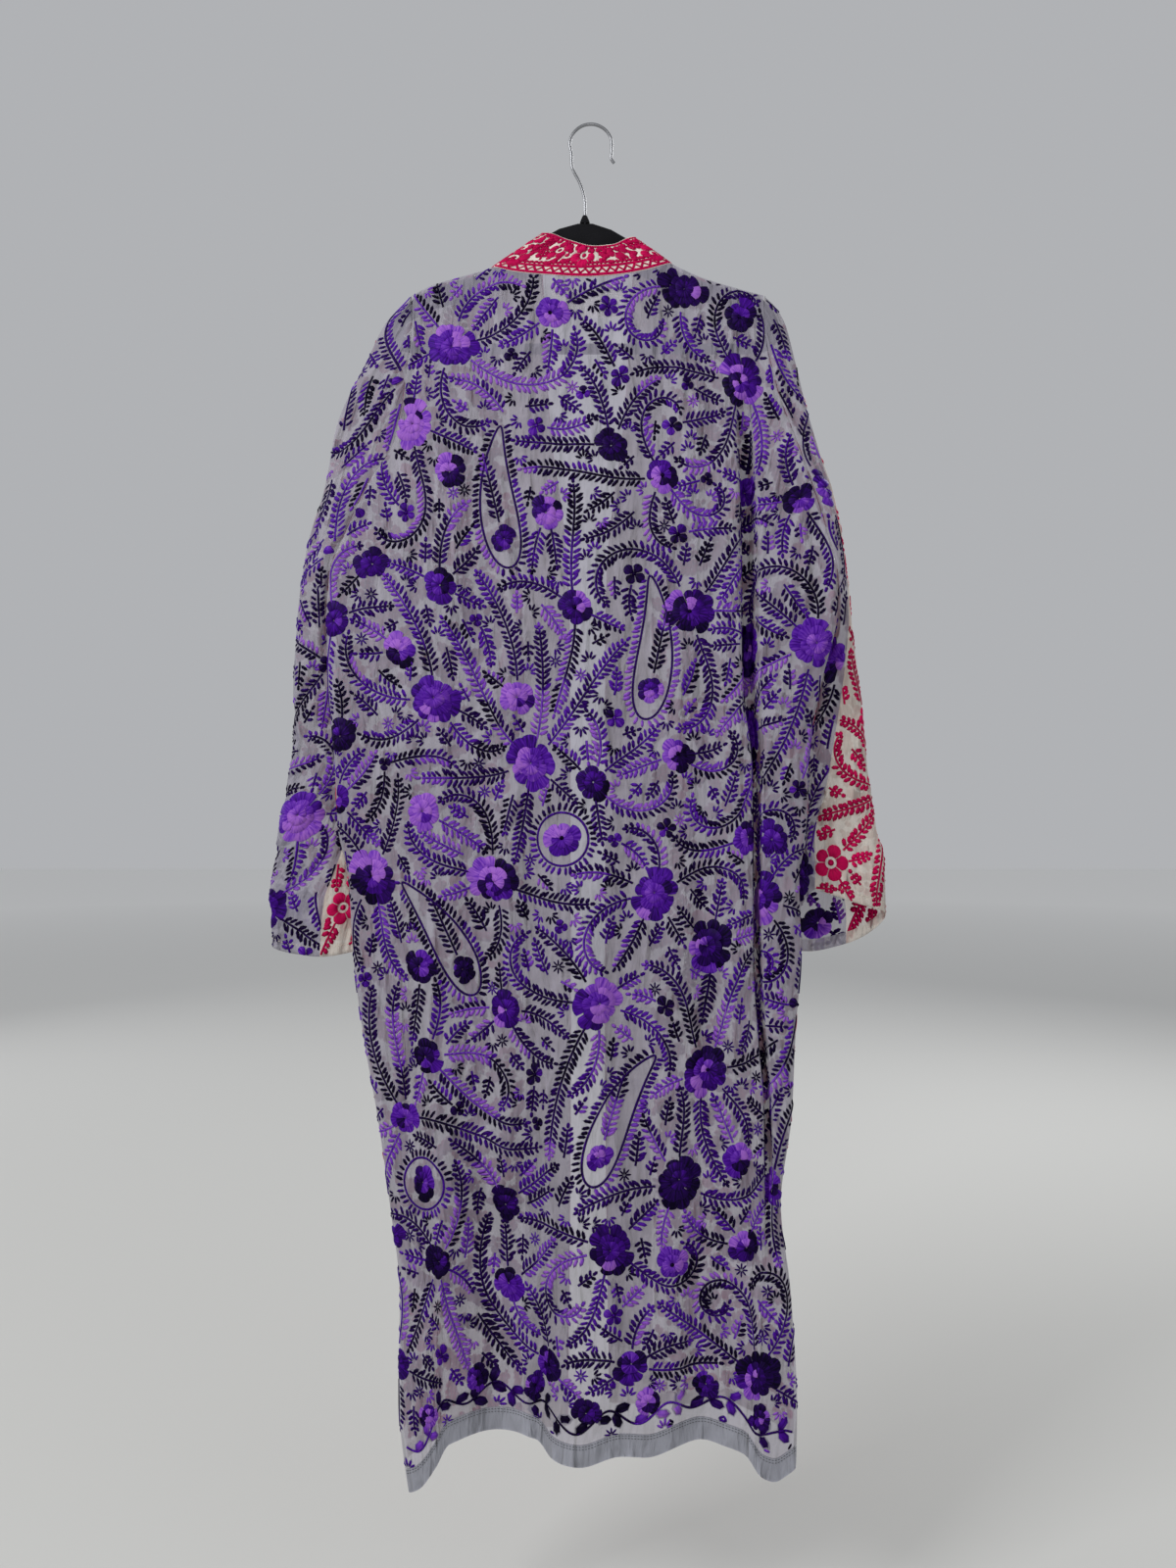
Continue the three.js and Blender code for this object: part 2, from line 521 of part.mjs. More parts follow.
function frontPanel(side) {
  const inward = INWARD[side];
  const grid = gridOf(ROWS, frontLast, (r, c) => {
    const point = frontPoint(side, c, frontZ(side, r, c));
    const drop = frontZ(side, 0, c) - point.z;
    if (c === frontLast) point.x -= inward * (SEAM + TOP_ROOM * (1 - ease(drop / 16)));
    return point;
  });
  const thickness = (r, c) => {
    const z = frontZ(side, r, c);
    const drop = frontZ(side, 0, c) - z;
    if (c === 0) return edgeNormal(side, z, drop, 1);
    if (c === frontLast) return frontSeamNormal(side, drop);
    if (r === 0) return new THREE.Vector3(0, 0, 1);
    return null;
  };
  if (side === "right") return clothWall(grid, CLOTH, thickness);
  return clothWall(mirrored(grid), CLOTH, (r, c) => thickness(r, frontLast - c));
}

// The sleeves. Rows follow the body's rows down the armhole and then go on to the cuff
const CAP_DROPS = [7, 6.6, 5, 2, 0]; // how much lower the outer seam starts than the armhole, by row
const CUFF_ROWS = 9;
const CUFF_HEIGHT = -885; // about where both cuffs end
const SLEEVE_COLUMNS = 8;
const ROLL_PARTS = [0, 0.55, 0.85]; // how far the first rows have rolled over the hanger's tip
const ATTACH = 5 / 6; // part of the half turn that the sleeve's section makes down the armhole
const SLEEVES = { left: LEFT_SLEEVE, right: RIGHT_SLEEVE };
const CUFFS = { left: LEFT_CUFF, right: RIGHT_CUFF };
const ARMHOLE_COLUMNS = { left: 0, right: lastColumn };

// Which way round a half of a sleeve goes, and the angle from which it starts
const HALVES = { back: { sign: 1, start: 0 }, front: { sign: -1, start: 360 } };

const cuffZ = (side, angle) => (
  smooth(CUFFS[side], "angle", side === "left" && angle > 270 ? angle - 360 : angle, "z"));

function sleevePoint(side, half, row, column) {
  const read = (z, name) => smooth(SLEEVES[side], "z", z, name);
  const { sign, start } = HALVES[half];
  const outward = -INWARD[side];
  const part = column / SLEEVE_COLUMNS; // 0 on the outer seam, 1 on the inner seam or armhole
  const bodyColumn = ARMHOLE_COLUMNS[side];
  const inArmhole = row <= UNDERARM_ROW;
  const armholeZ = backZ(Math.min(row, UNDERARM_ROW + 1), bodyColumn);
  const lower = Math.max(0, row - UNDERARM_ROW - 1) / CUFF_ROWS;
  const about = mix(armholeZ, CUFF_HEIGHT, lower);
  const angle = mix(start + read(about, "outerSeam"), read(about, "innerSeam"), part);
  const radians = THREE.MathUtils.degToRad(angle);
  const z = inArmhole
    ? armholeZ - (CAP_DROPS[row] ?? 0) * (1 - part)
    : mix(armholeZ, cuffZ(side, angle), lower);
  let inner = read(z, "inner");
  let innerY = read(z, "innerY");
  let towardsOuter = (1 + Math.cos(radians)) / 2;
  let off = Math.sin(radians);
  if (inArmhole) {
    // The section is open along the armhole, where it ends on the body's own edge
    const edge = half === "back" ? backPoint(bodyColumn, armholeZ) : frontPoint(side, 0, armholeZ);
    const topRoom = TOP_ROOM * (1 - ease((ARMHOLE_TOP - armholeZ) / 16));
    inner = edge.x + outward * (SEAM + topRoom);
    innerY = edge.y;
    const turned = half === "back" ? radians : 2 * Math.PI - radians;
    const least = (1 + Math.cos(Math.PI * ATTACH)) / 2;
    towardsOuter = ((1 + Math.cos(turned * ATTACH)) / 2 - least) / (1 - least);
    off = sign * (Math.sin(turned * ATTACH) - (Math.sin(Math.PI * ATTACH) * turned) / Math.PI);
  }
  const depth = read(z, "half") * (ROLL_PARTS[row] ?? 1);
  const onSeam = column === 0 || (column === SLEEVE_COLUMNS && !inArmhole);
  const room = onSeam ? sign * (column === 0 ? 1 : -1) * (SEAM / 2) : 0;
  return new THREE.Vector3(
    mix(inner, read(z, "outer"), towardsOuter) - outward * Math.sin(radians) * room,
    mix(innerY, read(z, "outerY"), towardsOuter) - depth * off - Math.cos(radians) * room,
    z,
  );
}

function sleeveHalf(side, half) {
  const rows = UNDERARM_ROW + 1 + CUFF_ROWS;
  const grid = gridOf(rows, SLEEVE_COLUMNS, (r, c) => sleevePoint(side, half, r, c));
  const bodyColumn = ARMHOLE_COLUMNS[side];
  const outward = -INWARD[side];
  const thickness = (r, c) => {
    const inArmhole = r <= UNDERARM_ROW;
    if (c === SLEEVE_COLUMNS && inArmhole) {
      const z = backZ(r, bodyColumn);
      return edgeNormal(side, z, backTop(bodyColumn) - z, -HALVES[half].sign);
    }
    if (r === 0) return new THREE.Vector3(0, 0, 1);
    if (c > 0 && (c < SLEEVE_COLUMNS || inArmhole)) return null;
    const read = (name) => smooth(SLEEVES[side], "z", grid[r][c].z, name);
    const radians = THREE.MathUtils.degToRad(read(c === 0 ? "outerSeam" : "innerSeam"));
    const halfWidth = Math.abs(read("outer") - read("inner")) / 2;
    return new THREE.Vector3(
      outward * Math.cos(radians) / halfWidth, -Math.sin(radians) / read("half"), 0);
  };
  if ((side === "left") === (half === "back")) return clothWall(grid, CLOTH, thickness);
  return clothWall(mirrored(grid), CLOTH, (r, c) => thickness(r, SLEEVE_COLUMNS - c));
}

// The collar band runs from one front hem up, over the shoulder, round the neck and down again.
// Each station has a point on the seam and a point on the free edge
const BAND_ROWS = 4;

function frontStation(side, row) {
  const z = frontZ(side, row, frontLast);
  const drop = frontZ(side, 0, frontLast) - z;
  const seam = frontPoint(side, frontLast, z);
  const peak = PEAKS[side];
  const free = new THREE.Vector3(
    mix(peak.x, seam.x + INWARD[side] * BAND_WIDTH, ease(drop / 330)),
    COLLAR_ROLL * quarter(drop / 3) + (seam.y + 4 - COLLAR_ROLL) * ease(drop / 60),
    mix(peak.z, seam.z, ease(drop / 200)),
  );
  return { seam, free, thickness: frontSeamNormal(side, drop) };
}

function neckStation(column) {
  const x = backX(column, TOP_Z);
  const part = (x - CORNERS.left) / (CORNERS.right - CORNERS.left);
  const edgeX = mix(PEAKS.left.x, PEAKS.right.x, part);
  const depth = COLLAR_ROLL * quarter(Math.min(part, 1 - part) / 0.04)
    + FREE_EDGE_DEPTH * Math.sqrt(1 - (2 * part - 1) ** 2);
  return {
    seam: new THREE.Vector3(x, -neckDepth(x), shoulderLine(x) + SEAM),
    free: new THREE.Vector3(edgeX, -depth, smooth(FREE_EDGE, "x", edgeX, "z")),
    thickness: topNormal(column),
  };
}

function collarBand() {
  const stations = [];
  for (let row = ROWS; row >= 1; row -= 1) stations.push(frontStation("left", row));
  for (let column = FIRST_NECK; column <= LAST_NECK; column += 1) stations.push(neckStation(column));
  for (let row = 1; row <= ROWS; row += 1) stations.push(frontStation("right", row));
  const grid = gridOf(BAND_ROWS, stations.length - 1, (r, c) => (
    stations[c].free.clone().lerp(stations[c].seam, r / BAND_ROWS)));
  return clothWall(grid, CLOTH, (r, c) => (r === BAND_ROWS ? stations[c].thickness.clone() : null));
}

// The hanger: two sloping arms, a bar below them, and an arched neck
const HANGER_TOP = [
  { x: -218, z: -219 },
  { x: -207, z: -204 },
  { x: -192, z: -188.5 },
  { x: -173, z: -177.5 },
  { x: -141, z: -167.5 },
  { x: -108, z: -158.5 },
  { x: -80, z: -140 },
  { x: -53, z: -122.5 },
  { x: -34, z: -112 },
  { x: -14, z: -106.5 },
  { x: 2, z: -106.5 },
  { x: 22, z: -113 },
  { x: 42, z: -124.5 },
  { x: 60, z: -137 },
  { x: 89, z: -156 },
  { x: 121, z: -169 },
  { x: 160, z: -181 },
  { x: 186, z: -188.5 },
  { x: 199, z: -204 },
  { x: 205, z: -219 },
];

// Opening between the arms and the bar, round the other way
const HANGER_HOLE = [
  { x: 178, z: -236 },
  { x: 190, z: -228 },
  { x: 186, z: -214 },
  { x: 160, z: -200 },
  { x: 96, z: -182 },
  { x: 50, z: -160 },
  { x: 18, z: -147 },
  { x: -30, z: -147 },
  { x: -60, z: -160 },
  { x: -110, z: -182 },
  { x: -176, z: -200 },
  { x: -200, z: -214 },
  { x: -203, z: -228 },
  { x: -190, z: -236 },
];
const HANGER_BAR = [
  { x: 203, z: -232 },
  { x: 192, z: -243 },
  { x: 176, z: -247 },
  { x: -190, z: -247 },
  { x: -205, z: -243 },
  { x: -216, z: -232 },
];

function hanger() {
  const flat = (points) => points.map(({ x, z }) => new THREE.Vector2(x, z));
  const outline = new THREE.Shape(flat([...HANGER_TOP, ...HANGER_BAR]));
  outline.holes.push(new THREE.Path(flat(HANGER_HOLE)));
  const geometry = new THREE.ExtrudeGeometry(outline, {
    depth: HANGER_THICK - 2 * HANGER_BEVEL,
    bevelEnabled: true,
    bevelThickness: HANGER_BEVEL,
    bevelSize: HANGER_BEVEL,
    bevelOffset: -HANGER_BEVEL,
    bevelSegments: 1,
    steps: 1,
  });
  geometry.translate(0, 0, -(HANGER_THICK - 2 * HANGER_BEVEL) / 2);
  geometry.rotateX(Math.PI / 2);
  return geometry;
}

// The hook: a wire from the hanger's neck, out to one side and over in a crook that ends in a lip
const HOOK_STEM = [
  { x: -6.4, z: -106.2 },
  { x: -6.4, z: -92 },
  { x: -7, z: -78 },
  { x: -12, z: -62 },
  { x: -20, z: -46 },
];
const HOOK_LIP = [
  { x: 22, z: -35.35 },
  { x: 25, z: -40.35 },
];
const CROOK = { from: 205, to: -12, turn: 31 }; // degrees, from the stem over to the lip

function hook() {
  const points = [...HOOK_STEM];
  for (let angle = CROOK.from; angle >= CROOK.to; angle -= CROOK.turn) {
    const radians = THREE.MathUtils.degToRad(angle);
    const centre = WIRE / 2 - CROOK_RADIUS;
    points.push({ x: CROOK_RADIUS * Math.cos(radians), z: centre + CROOK_RADIUS * Math.sin(radians) });
  }
  points.push(...HOOK_LIP);
  const path = new THREE.CatmullRomCurve3(points.map(({ x, z }) => new THREE.Vector3(x, 0, z)));
  const section = new THREE.Shape();
  section.absarc(0, 0, WIRE / 2, 0, 2 * Math.PI);
  return new THREE.ExtrudeGeometry(section, { steps: 44, extrudePath: path, curveSegments: 5 });
}

// The sewn-in label inside the back, below the collar
const LABEL = { left: -42, right: 40, top: -181, bottom: -213, wall: 1, rows: 2, columns: 8 };

function label() {
  const grid = gridOf(LABEL.rows, LABEL.columns, (r, c) => {
    const x = mix(LABEL.left, LABEL.right, c / LABEL.columns);
    const z = mix(LABEL.top, LABEL.bottom, r / LABEL.rows);
    return new THREE.Vector3(x, backY(x, z, shoulderLine(x)) + CLOTH + 2 * SEAM, z);
  });
  return clothWall(grid, LABEL.wall);
}

const GREY = { color: 0x9a9aa6, roughness: 0.85, metalness: 0 };
const CREAM = { color: 0xcbbdae, roughness: 0.85, metalness: 0 };
const PIECES = [
  ["back_panel", backPanel, GREY],
  ["hem_band", hemBand, { color: 0x8c919c, roughness: 0.85, metalness: 0 }],
  ["front_left", () => frontPanel("left"), CREAM],
  ["front_right", () => frontPanel("right"), CREAM],
  ["sleeve_left_back", () => sleeveHalf("left", "back"), GREY],
  ["sleeve_left_front", () => sleeveHalf("left", "front"), CREAM],
  ["sleeve_right_back", () => sleeveHalf("right", "back"), GREY],
  ["sleeve_right_front", () => sleeveHalf("right", "front"), CREAM],
  ["collar_band", collarBand, { color: 0xcf0f4e, roughness: 0.8, metalness: 0 }],
  ["label", label, { color: 0xf2f2ee, roughness: 0.7, metalness: 0 }],
  ["hanger_body", hanger, { color: 0x101012, roughness: 0.95, metalness: 0 }],
  ["hanger_hook", hook, { color: 0xc8cacc, roughness: 0.2, metalness: 1 }],
];

const kimono = new THREE.Group();
for (const [name, shape, look] of PIECES) {
  const mesh = new THREE.Mesh(shape(), new THREE.MeshStandardMaterial(look));
  mesh.name = name;
  kimono.add(mesh);
}

export default kimono;
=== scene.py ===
"""A long open kimono of sheer embroidered georgette, hung on a slim velvet clothes hanger.

The tables give millimetres, and the meshes are made from them in metres. X runs across as seen from
the garment's back, which faces -Y, Z is up, and the inside of the hook's crook is the origin.
"""
import math

import bpy
import numpy as np
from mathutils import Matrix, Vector
from mathutils.kdtree import KDTree


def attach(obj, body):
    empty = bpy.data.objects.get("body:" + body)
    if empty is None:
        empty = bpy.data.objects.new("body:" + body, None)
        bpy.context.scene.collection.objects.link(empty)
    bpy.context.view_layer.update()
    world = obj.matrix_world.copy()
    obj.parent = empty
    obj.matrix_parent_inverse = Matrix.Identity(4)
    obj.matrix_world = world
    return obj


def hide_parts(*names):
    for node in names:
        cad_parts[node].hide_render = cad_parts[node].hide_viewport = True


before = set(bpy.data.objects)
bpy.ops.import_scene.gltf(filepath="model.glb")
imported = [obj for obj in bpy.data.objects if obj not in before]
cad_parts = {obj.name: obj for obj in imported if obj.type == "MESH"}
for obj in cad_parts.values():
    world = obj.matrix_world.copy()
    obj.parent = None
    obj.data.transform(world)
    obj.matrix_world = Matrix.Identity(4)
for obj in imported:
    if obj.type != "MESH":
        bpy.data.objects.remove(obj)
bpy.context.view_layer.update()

bl_info = {
    "name": "Kimono on a hanger",
    "version": (1, 0, 0),
    "blender": (4, 5, 0),
    "location": "View3D > Sidebar > Kimono",
    "description": "Makes the cloth, the embroidery and the hanger of a long georgette kimono",
    "category": "Object",
}

MM = 0.001
ROOT = "root"  # the one body of a garment without joints

# Sizes shared with the solids
SEAM = 0.3  # room between two pieces at a seam
TOP_ROOM = 1.3
HEM_BAND = 24
SHOULDER_ROLL = 4.8
ROLL_DROP = 5
SETTLE_DROP = 130
NECK_DEPTH = 16
SLIT_TOP = -1180
SLIT_SPREAD = 9
UNDERARM = {"left": -497, "right": -490}
ARMHOLE_TOP = -184
ARMHOLE_GAP = 9
BAND_WIDTH = 50
COLLAR_ROLL = 5.2
FREE_EDGE_DEPTH = 5.3
NECK_DRIFT = 0.14
TOP_Z = -150
HEM_Z = -1420
FRONT_DIP = 8
CUFF_HEIGHT = -885
ATTACH = 5 / 6
INWARD = {"left": 1, "right": -1}

# Sizes of the finer cloth
COLUMN_STEP = 3.0  # width of one face of the cloth
ROW_STEP = 4.2  # and its height
TOP_ROWS = (0, 0.4, 1.2, 2.4, 4, 6.5, 10)  # rows close together where the cloth rolls over the hanger
FRONT_COLUMNS = 70
SLEEVE_COLUMNS = 41
NECK_COLUMNS = 67
BAND_ROWS = 13  # rows of the hem band and of the collar
DOUBLING = 0.9  # room between the two layers of a turned hem
FOLD_ROOM = {"hem_band": 1.6, "collar_band": 1.4}  # and between those of a folded band
TURN_UP = 12  # cloth turned under at the fronts' and sleeves' hems
STITCH_RISE = 10  # height of the hem's stitches above its edge
EVEN_AT = -700.0  # height at which the back's columns lie an even distance apart
EVEN_TOP = -165  # height of the upper edge that this spacing is measured below
CREASE_FADE = {"ends": 25, "sides": 9}  # how far from a piece's edges its creases reach full depth


class Table:
    """A short table with named columns, read smoothly from row to row by its first column"""

    def __init__(self, columns, *rows):
        data = np.array(sorted(rows), dtype=float)
        self.key = data[:, 0]
        self.columns = dict(zip(columns.split(), data.T))

    def read(self, at, column):
        x, y = self.key, self.columns[column]
        slope = np.diff(y) / np.diff(x)
        before, after = slope[:-1], slope[1:]
        same_way = before * after > 0
        total = np.where(same_way, before + after, 1)
        middle = np.where(same_way, 2 * before * after / total, 0)
        tangent = np.concatenate([slope[:1], middle, slope[-1:]])
        at = np.clip(at, x[0], x[-1])
        i = np.clip(np.searchsorted(x, at, side="right") - 1, 0, len(x) - 2)
        span = x[i + 1] - x[i]
        s = (at - x[i]) / span
        return ((2 * s**3 - 3 * s**2 + 1) * y[i] + (s**3 - 2 * s**2 + s) * tangent[i] * span
                + (3 * s**2 - 2 * s**3) * y[i + 1] + (s**3 - s**2) * tangent[i + 1] * span)


# Side lines of the body and the deep trough at the right of the back, with how far the back and
# front stand off the mid-plane, and where the side seams lie in depth
BODY = Table(
    "z left trough_in trough_out right back front left_y right_y",
    (-150, -192, 150, 164, 186, 9, 9, 0, 0),
    (-214, -193, 151, 165, 187, 13, 11, 0, 0),
    (-285, -200, 155, 169, 200, 19, 15, 0, 0),
    (-345, -211, 157, 172, 221, 22, 18, -2, -3),
    (-390, -238, 158, 175, 236, 25, 21, -6, -8),
    (-443, -261, 159, 177, 251, 28, 24, -11, -15),
    (-497, -280, 159, 177, 262, 30, 27, -16, -24),
    (-532, -282, 159, 177, 261, 32, 28, -18, -28),
    (-604, -280, 160, 177, 245, 34, 30, -19, -26),
    (-690, -273, 170, 180, 231, 36, 32, -20, -25),
    (-760, -269, 171, 180, 230, 38, 33, -21, -25),
    (-812, -258, 171, 180, 221, 39, 34, -22, -26),
    (-890, -253, 171, 180, 223, 40, 35, -23, -26),
    (-977, -242, 176, 184, 217, 42, 36, -24, -27),
    (-1060, -227, 182, 190, 213, 44, 37, -26, -28),
    (-1155, -213, 182, 189, 201, 46, 38, -28, -30),
    (-1250, -202, 182, 190, 211, 47, 39, -30, -32),
    (-1360, -201, 182, 191, 216, 48, 40, -33, -34),
    (-1480, -186, 180, 191, 212, 48, 40, -38, -38),
)
TROUGH = Table(
    "z depth",
    (-290, 0), (-360, 14), (-450, 25), (-900, 27), (-1050, 19), (-1160, 6), (-1230, 0),
)
LEFT_SHOULDER = Table("x z", (-192, -184), (-173, -174), (-141, -164), (-108, -155))
NECKLINE = Table(
    "x z",
    (-108, -155), (-81, -163), (-50, -167), (-8, -170), (23, -168), (56, -162), (89, -151),
)
RIGHT_SHOULDER = Table("x z", (89, -151), (121, -165), (160, -177), (186, -184))
CORNERS = {"left": -108, "right": 89}
HEM = Table(
    "x z",
    (-200, -1452), (-182, -1445), (-162, -1424), (-146, -1402), (-112, -1398), (-80, -1398),
    (-60, -1402), (-42, -1417), (-12, -1422), (30, -1413), (55, -1414), (90, -1405),
    (115, -1403), (140, -1407), (160, -1412), (178, -1433), (192, -1437), (204, -1432),
    (216, -1424),
)

# Hanging folds: place across, width, depth (a ridge is negative), top, bottom, sideways wander
BACK_FOLDS = (
    (-236, 15, 7, -560, -1000, 18),
    (-168, 26, -8, -400, -1500, 12),
    (-118, 16, 13, -350, -1290, 6),
    (-92, 13, -6, -480, -1200, 4),
    (-66, 14, 9, -520, -1260, 6),
    (-18, 26, -9, -700, -1500, 4),
    (42, 15, 8, -420, -1330, 6),
    (82, 20, -7, -640, -1500, 2),
    (120, 12, 10, -380, -1180, 4),
    (145, 12, -7, -420, -1200, 8),
    (204, 12, -8, -380, -900, -2),
    (-104, 30, 27, -1080, -1560, 6),
    (-50, 7, 12, -1220, -1560, -3),
    (-186, 17, -15, -1200, -1560, 2),
    (112, 20, 16, -1120, -1560, 2),
    (190, 17, -15, -1190, -1560, 0),
)
FRONT_FOLDS = (
    (-212, 18, -9, -520, -1560, 14),
    (-160, 20, 9, -420, -1560, 10),
    (-112, 15, -10, -480, -1560, 4),
    (104, 16, -9, -460, -1560, -2),
    (146, 17, 8, -420, -1560, 4),
    (192, 16, -8, -560, -1560, 4),
)
FRONT_EDGE = Table(
    "z left right",
    (-150, -108, 89), (-215, -100, 84), (-300, -90, 78), (-420, -78, 70), (-560, -73, 66),
    (-1000, -72, 66), (-1480, -76, 72),
)

# Each sleeve from the top down: the outer and inner edge with their depths, half the thickness of the
# tube, and the angles at which its two seams lie
SLEEVE_COLUMN_NAMES = "z outer inner outer_y inner_y half outer_seam inner_seam"
SLEEVES = {
    "left": Table(
        SLEEVE_COLUMN_NAMES,
        (-184, -192, -192, 0, 0, 4, 0, 180),
        (-201, -210, -192, 0, 0, 5, 0, 180),
        (-214, -222, -193, 0, 0, 6, 0, 180),
        (-248, -239, -196, 0, 0, 8, 0, 180),
        (-326, -275, -208, 0, 0, 11, 0, 180),
        (-388, -287, -237, 1, -6, 12, 0, 180),
        (-455, -307, -266, 2, -12, 12, 0, 180),
        (-497, -314, -281, 3, -16, 12, -3, 180),
        (-504, -315, -282, 3, -14, 12, -3, 180),
        (-540, -319, -282, 5, -3, 12, -6, 180),
        (-575, -322, -275, 8, 7, 13, -12, 178),
        (-606, -324, -262, 10, 14, 13, -18, 172),
        (-670, -325, -250, 12, 18, 14, -32, 156),
        (-734, -337, -242, 12, 20, 15, -48, 132),
        (-808, -347, -238, 12, 20, 15, -70, 101),
        (-829, -350, -237, 12, 20, 16, -76, 94),
        (-890, -347, -236, 12, 20, 16, -84, 88),
        (-920, -346, -236, 12, 20, 16, -84, 88),
    ),
    "right": Table(
        SLEEVE_COLUMN_NAMES,
        (-184, 186, 186, 0, 0, 4, 0, 180),
        (-198, 201, 186, 0, 0, 5, 0, 180),
        (-217, 211, 187, 0, 0, 6, 0, 180),
        (-239, 217, 191, 0, 0, 8, 2, 180),
        (-319, 237, 210, 0, 0, 11, 8, 180),
        (-358, 249, 225, 0, -5, 11, 40, 180),
        (-393, 261, 237, 0, -9, 11, 52, 180),
        (-437, 271, 249, 1, -14, 11, 60, 180),
        (-483, 277, 260, 2, -22, 11, 62, 180),
        (-497, 279, 263, 2, -22, 11, 62, 180),
        (-530, 282, 263, 3, -15, 10, 64, 180),
        (-565, 286, 252, 4, -3, 11, 67, 186),
        (-608, 292, 236, 6, 8, 12, 73, 200),
        (-690, 301, 218, 8, 14, 14, 87, 240),
        (-757, 310, 205, 8, 18, 15, 96, 264),
        (-819, 320, 202, 8, 20, 16, 107, 286),
        (-858, 321, 202, 8, 20, 16, 108, 290),
        (-920, 320, 202, 8, 20, 16, 108, 290),
    ),
}
# Height of the cuff's edge round each sleeve
CUFFS = {
    "left": Table(
        "angle z",
        (-90, -886), (0, -889), (60, -896), (90, -899), (135, -893), (180, -889), (225, -884),
        (270, -886),
    ),
    "right": Table(
        "angle z",
        (0, -855), (60, -842), (107, -826), (128, -850), (160, -884), (200, -892), (250, -897),
        (290, -888), (360, -855), (420, -842), (467, -826),
    ),
}
HALVES = {"back": (1, 0), "front": (-1, 360)}  # way round the sleeve, and the angle it starts from
# Rows of the solids' side edges, below the shoulder, down to just past the underarm
SIDE_DROPS = (0, 1.2, 4, 12, 28, 55, 95, 140, 185, 230, 272, 313, 320)
SIDE_LENGTH = 1244
UNDERARM_ROW = len(SIDE_DROPS) - 2
CUFF_ROWS = 9
CAP_DROPS = (7, 6.6, 5, 2, 0)  # how far the outer seam hangs below the armhole in its first rows
ROLL_PARTS = (0, 0.55, 0.85, 1)  # and what part of the sleeve's thickness those rows have
PEAKS = {"left": (-53, -118), "right": (48, -122)}  # the collar's upper corners beside the neck
FREE_EDGE = Table(
    "x z", (-53, -118), (-42, -120), (-25, -127), (4, -134), (24, -132), (39, -125), (48, -122)
)

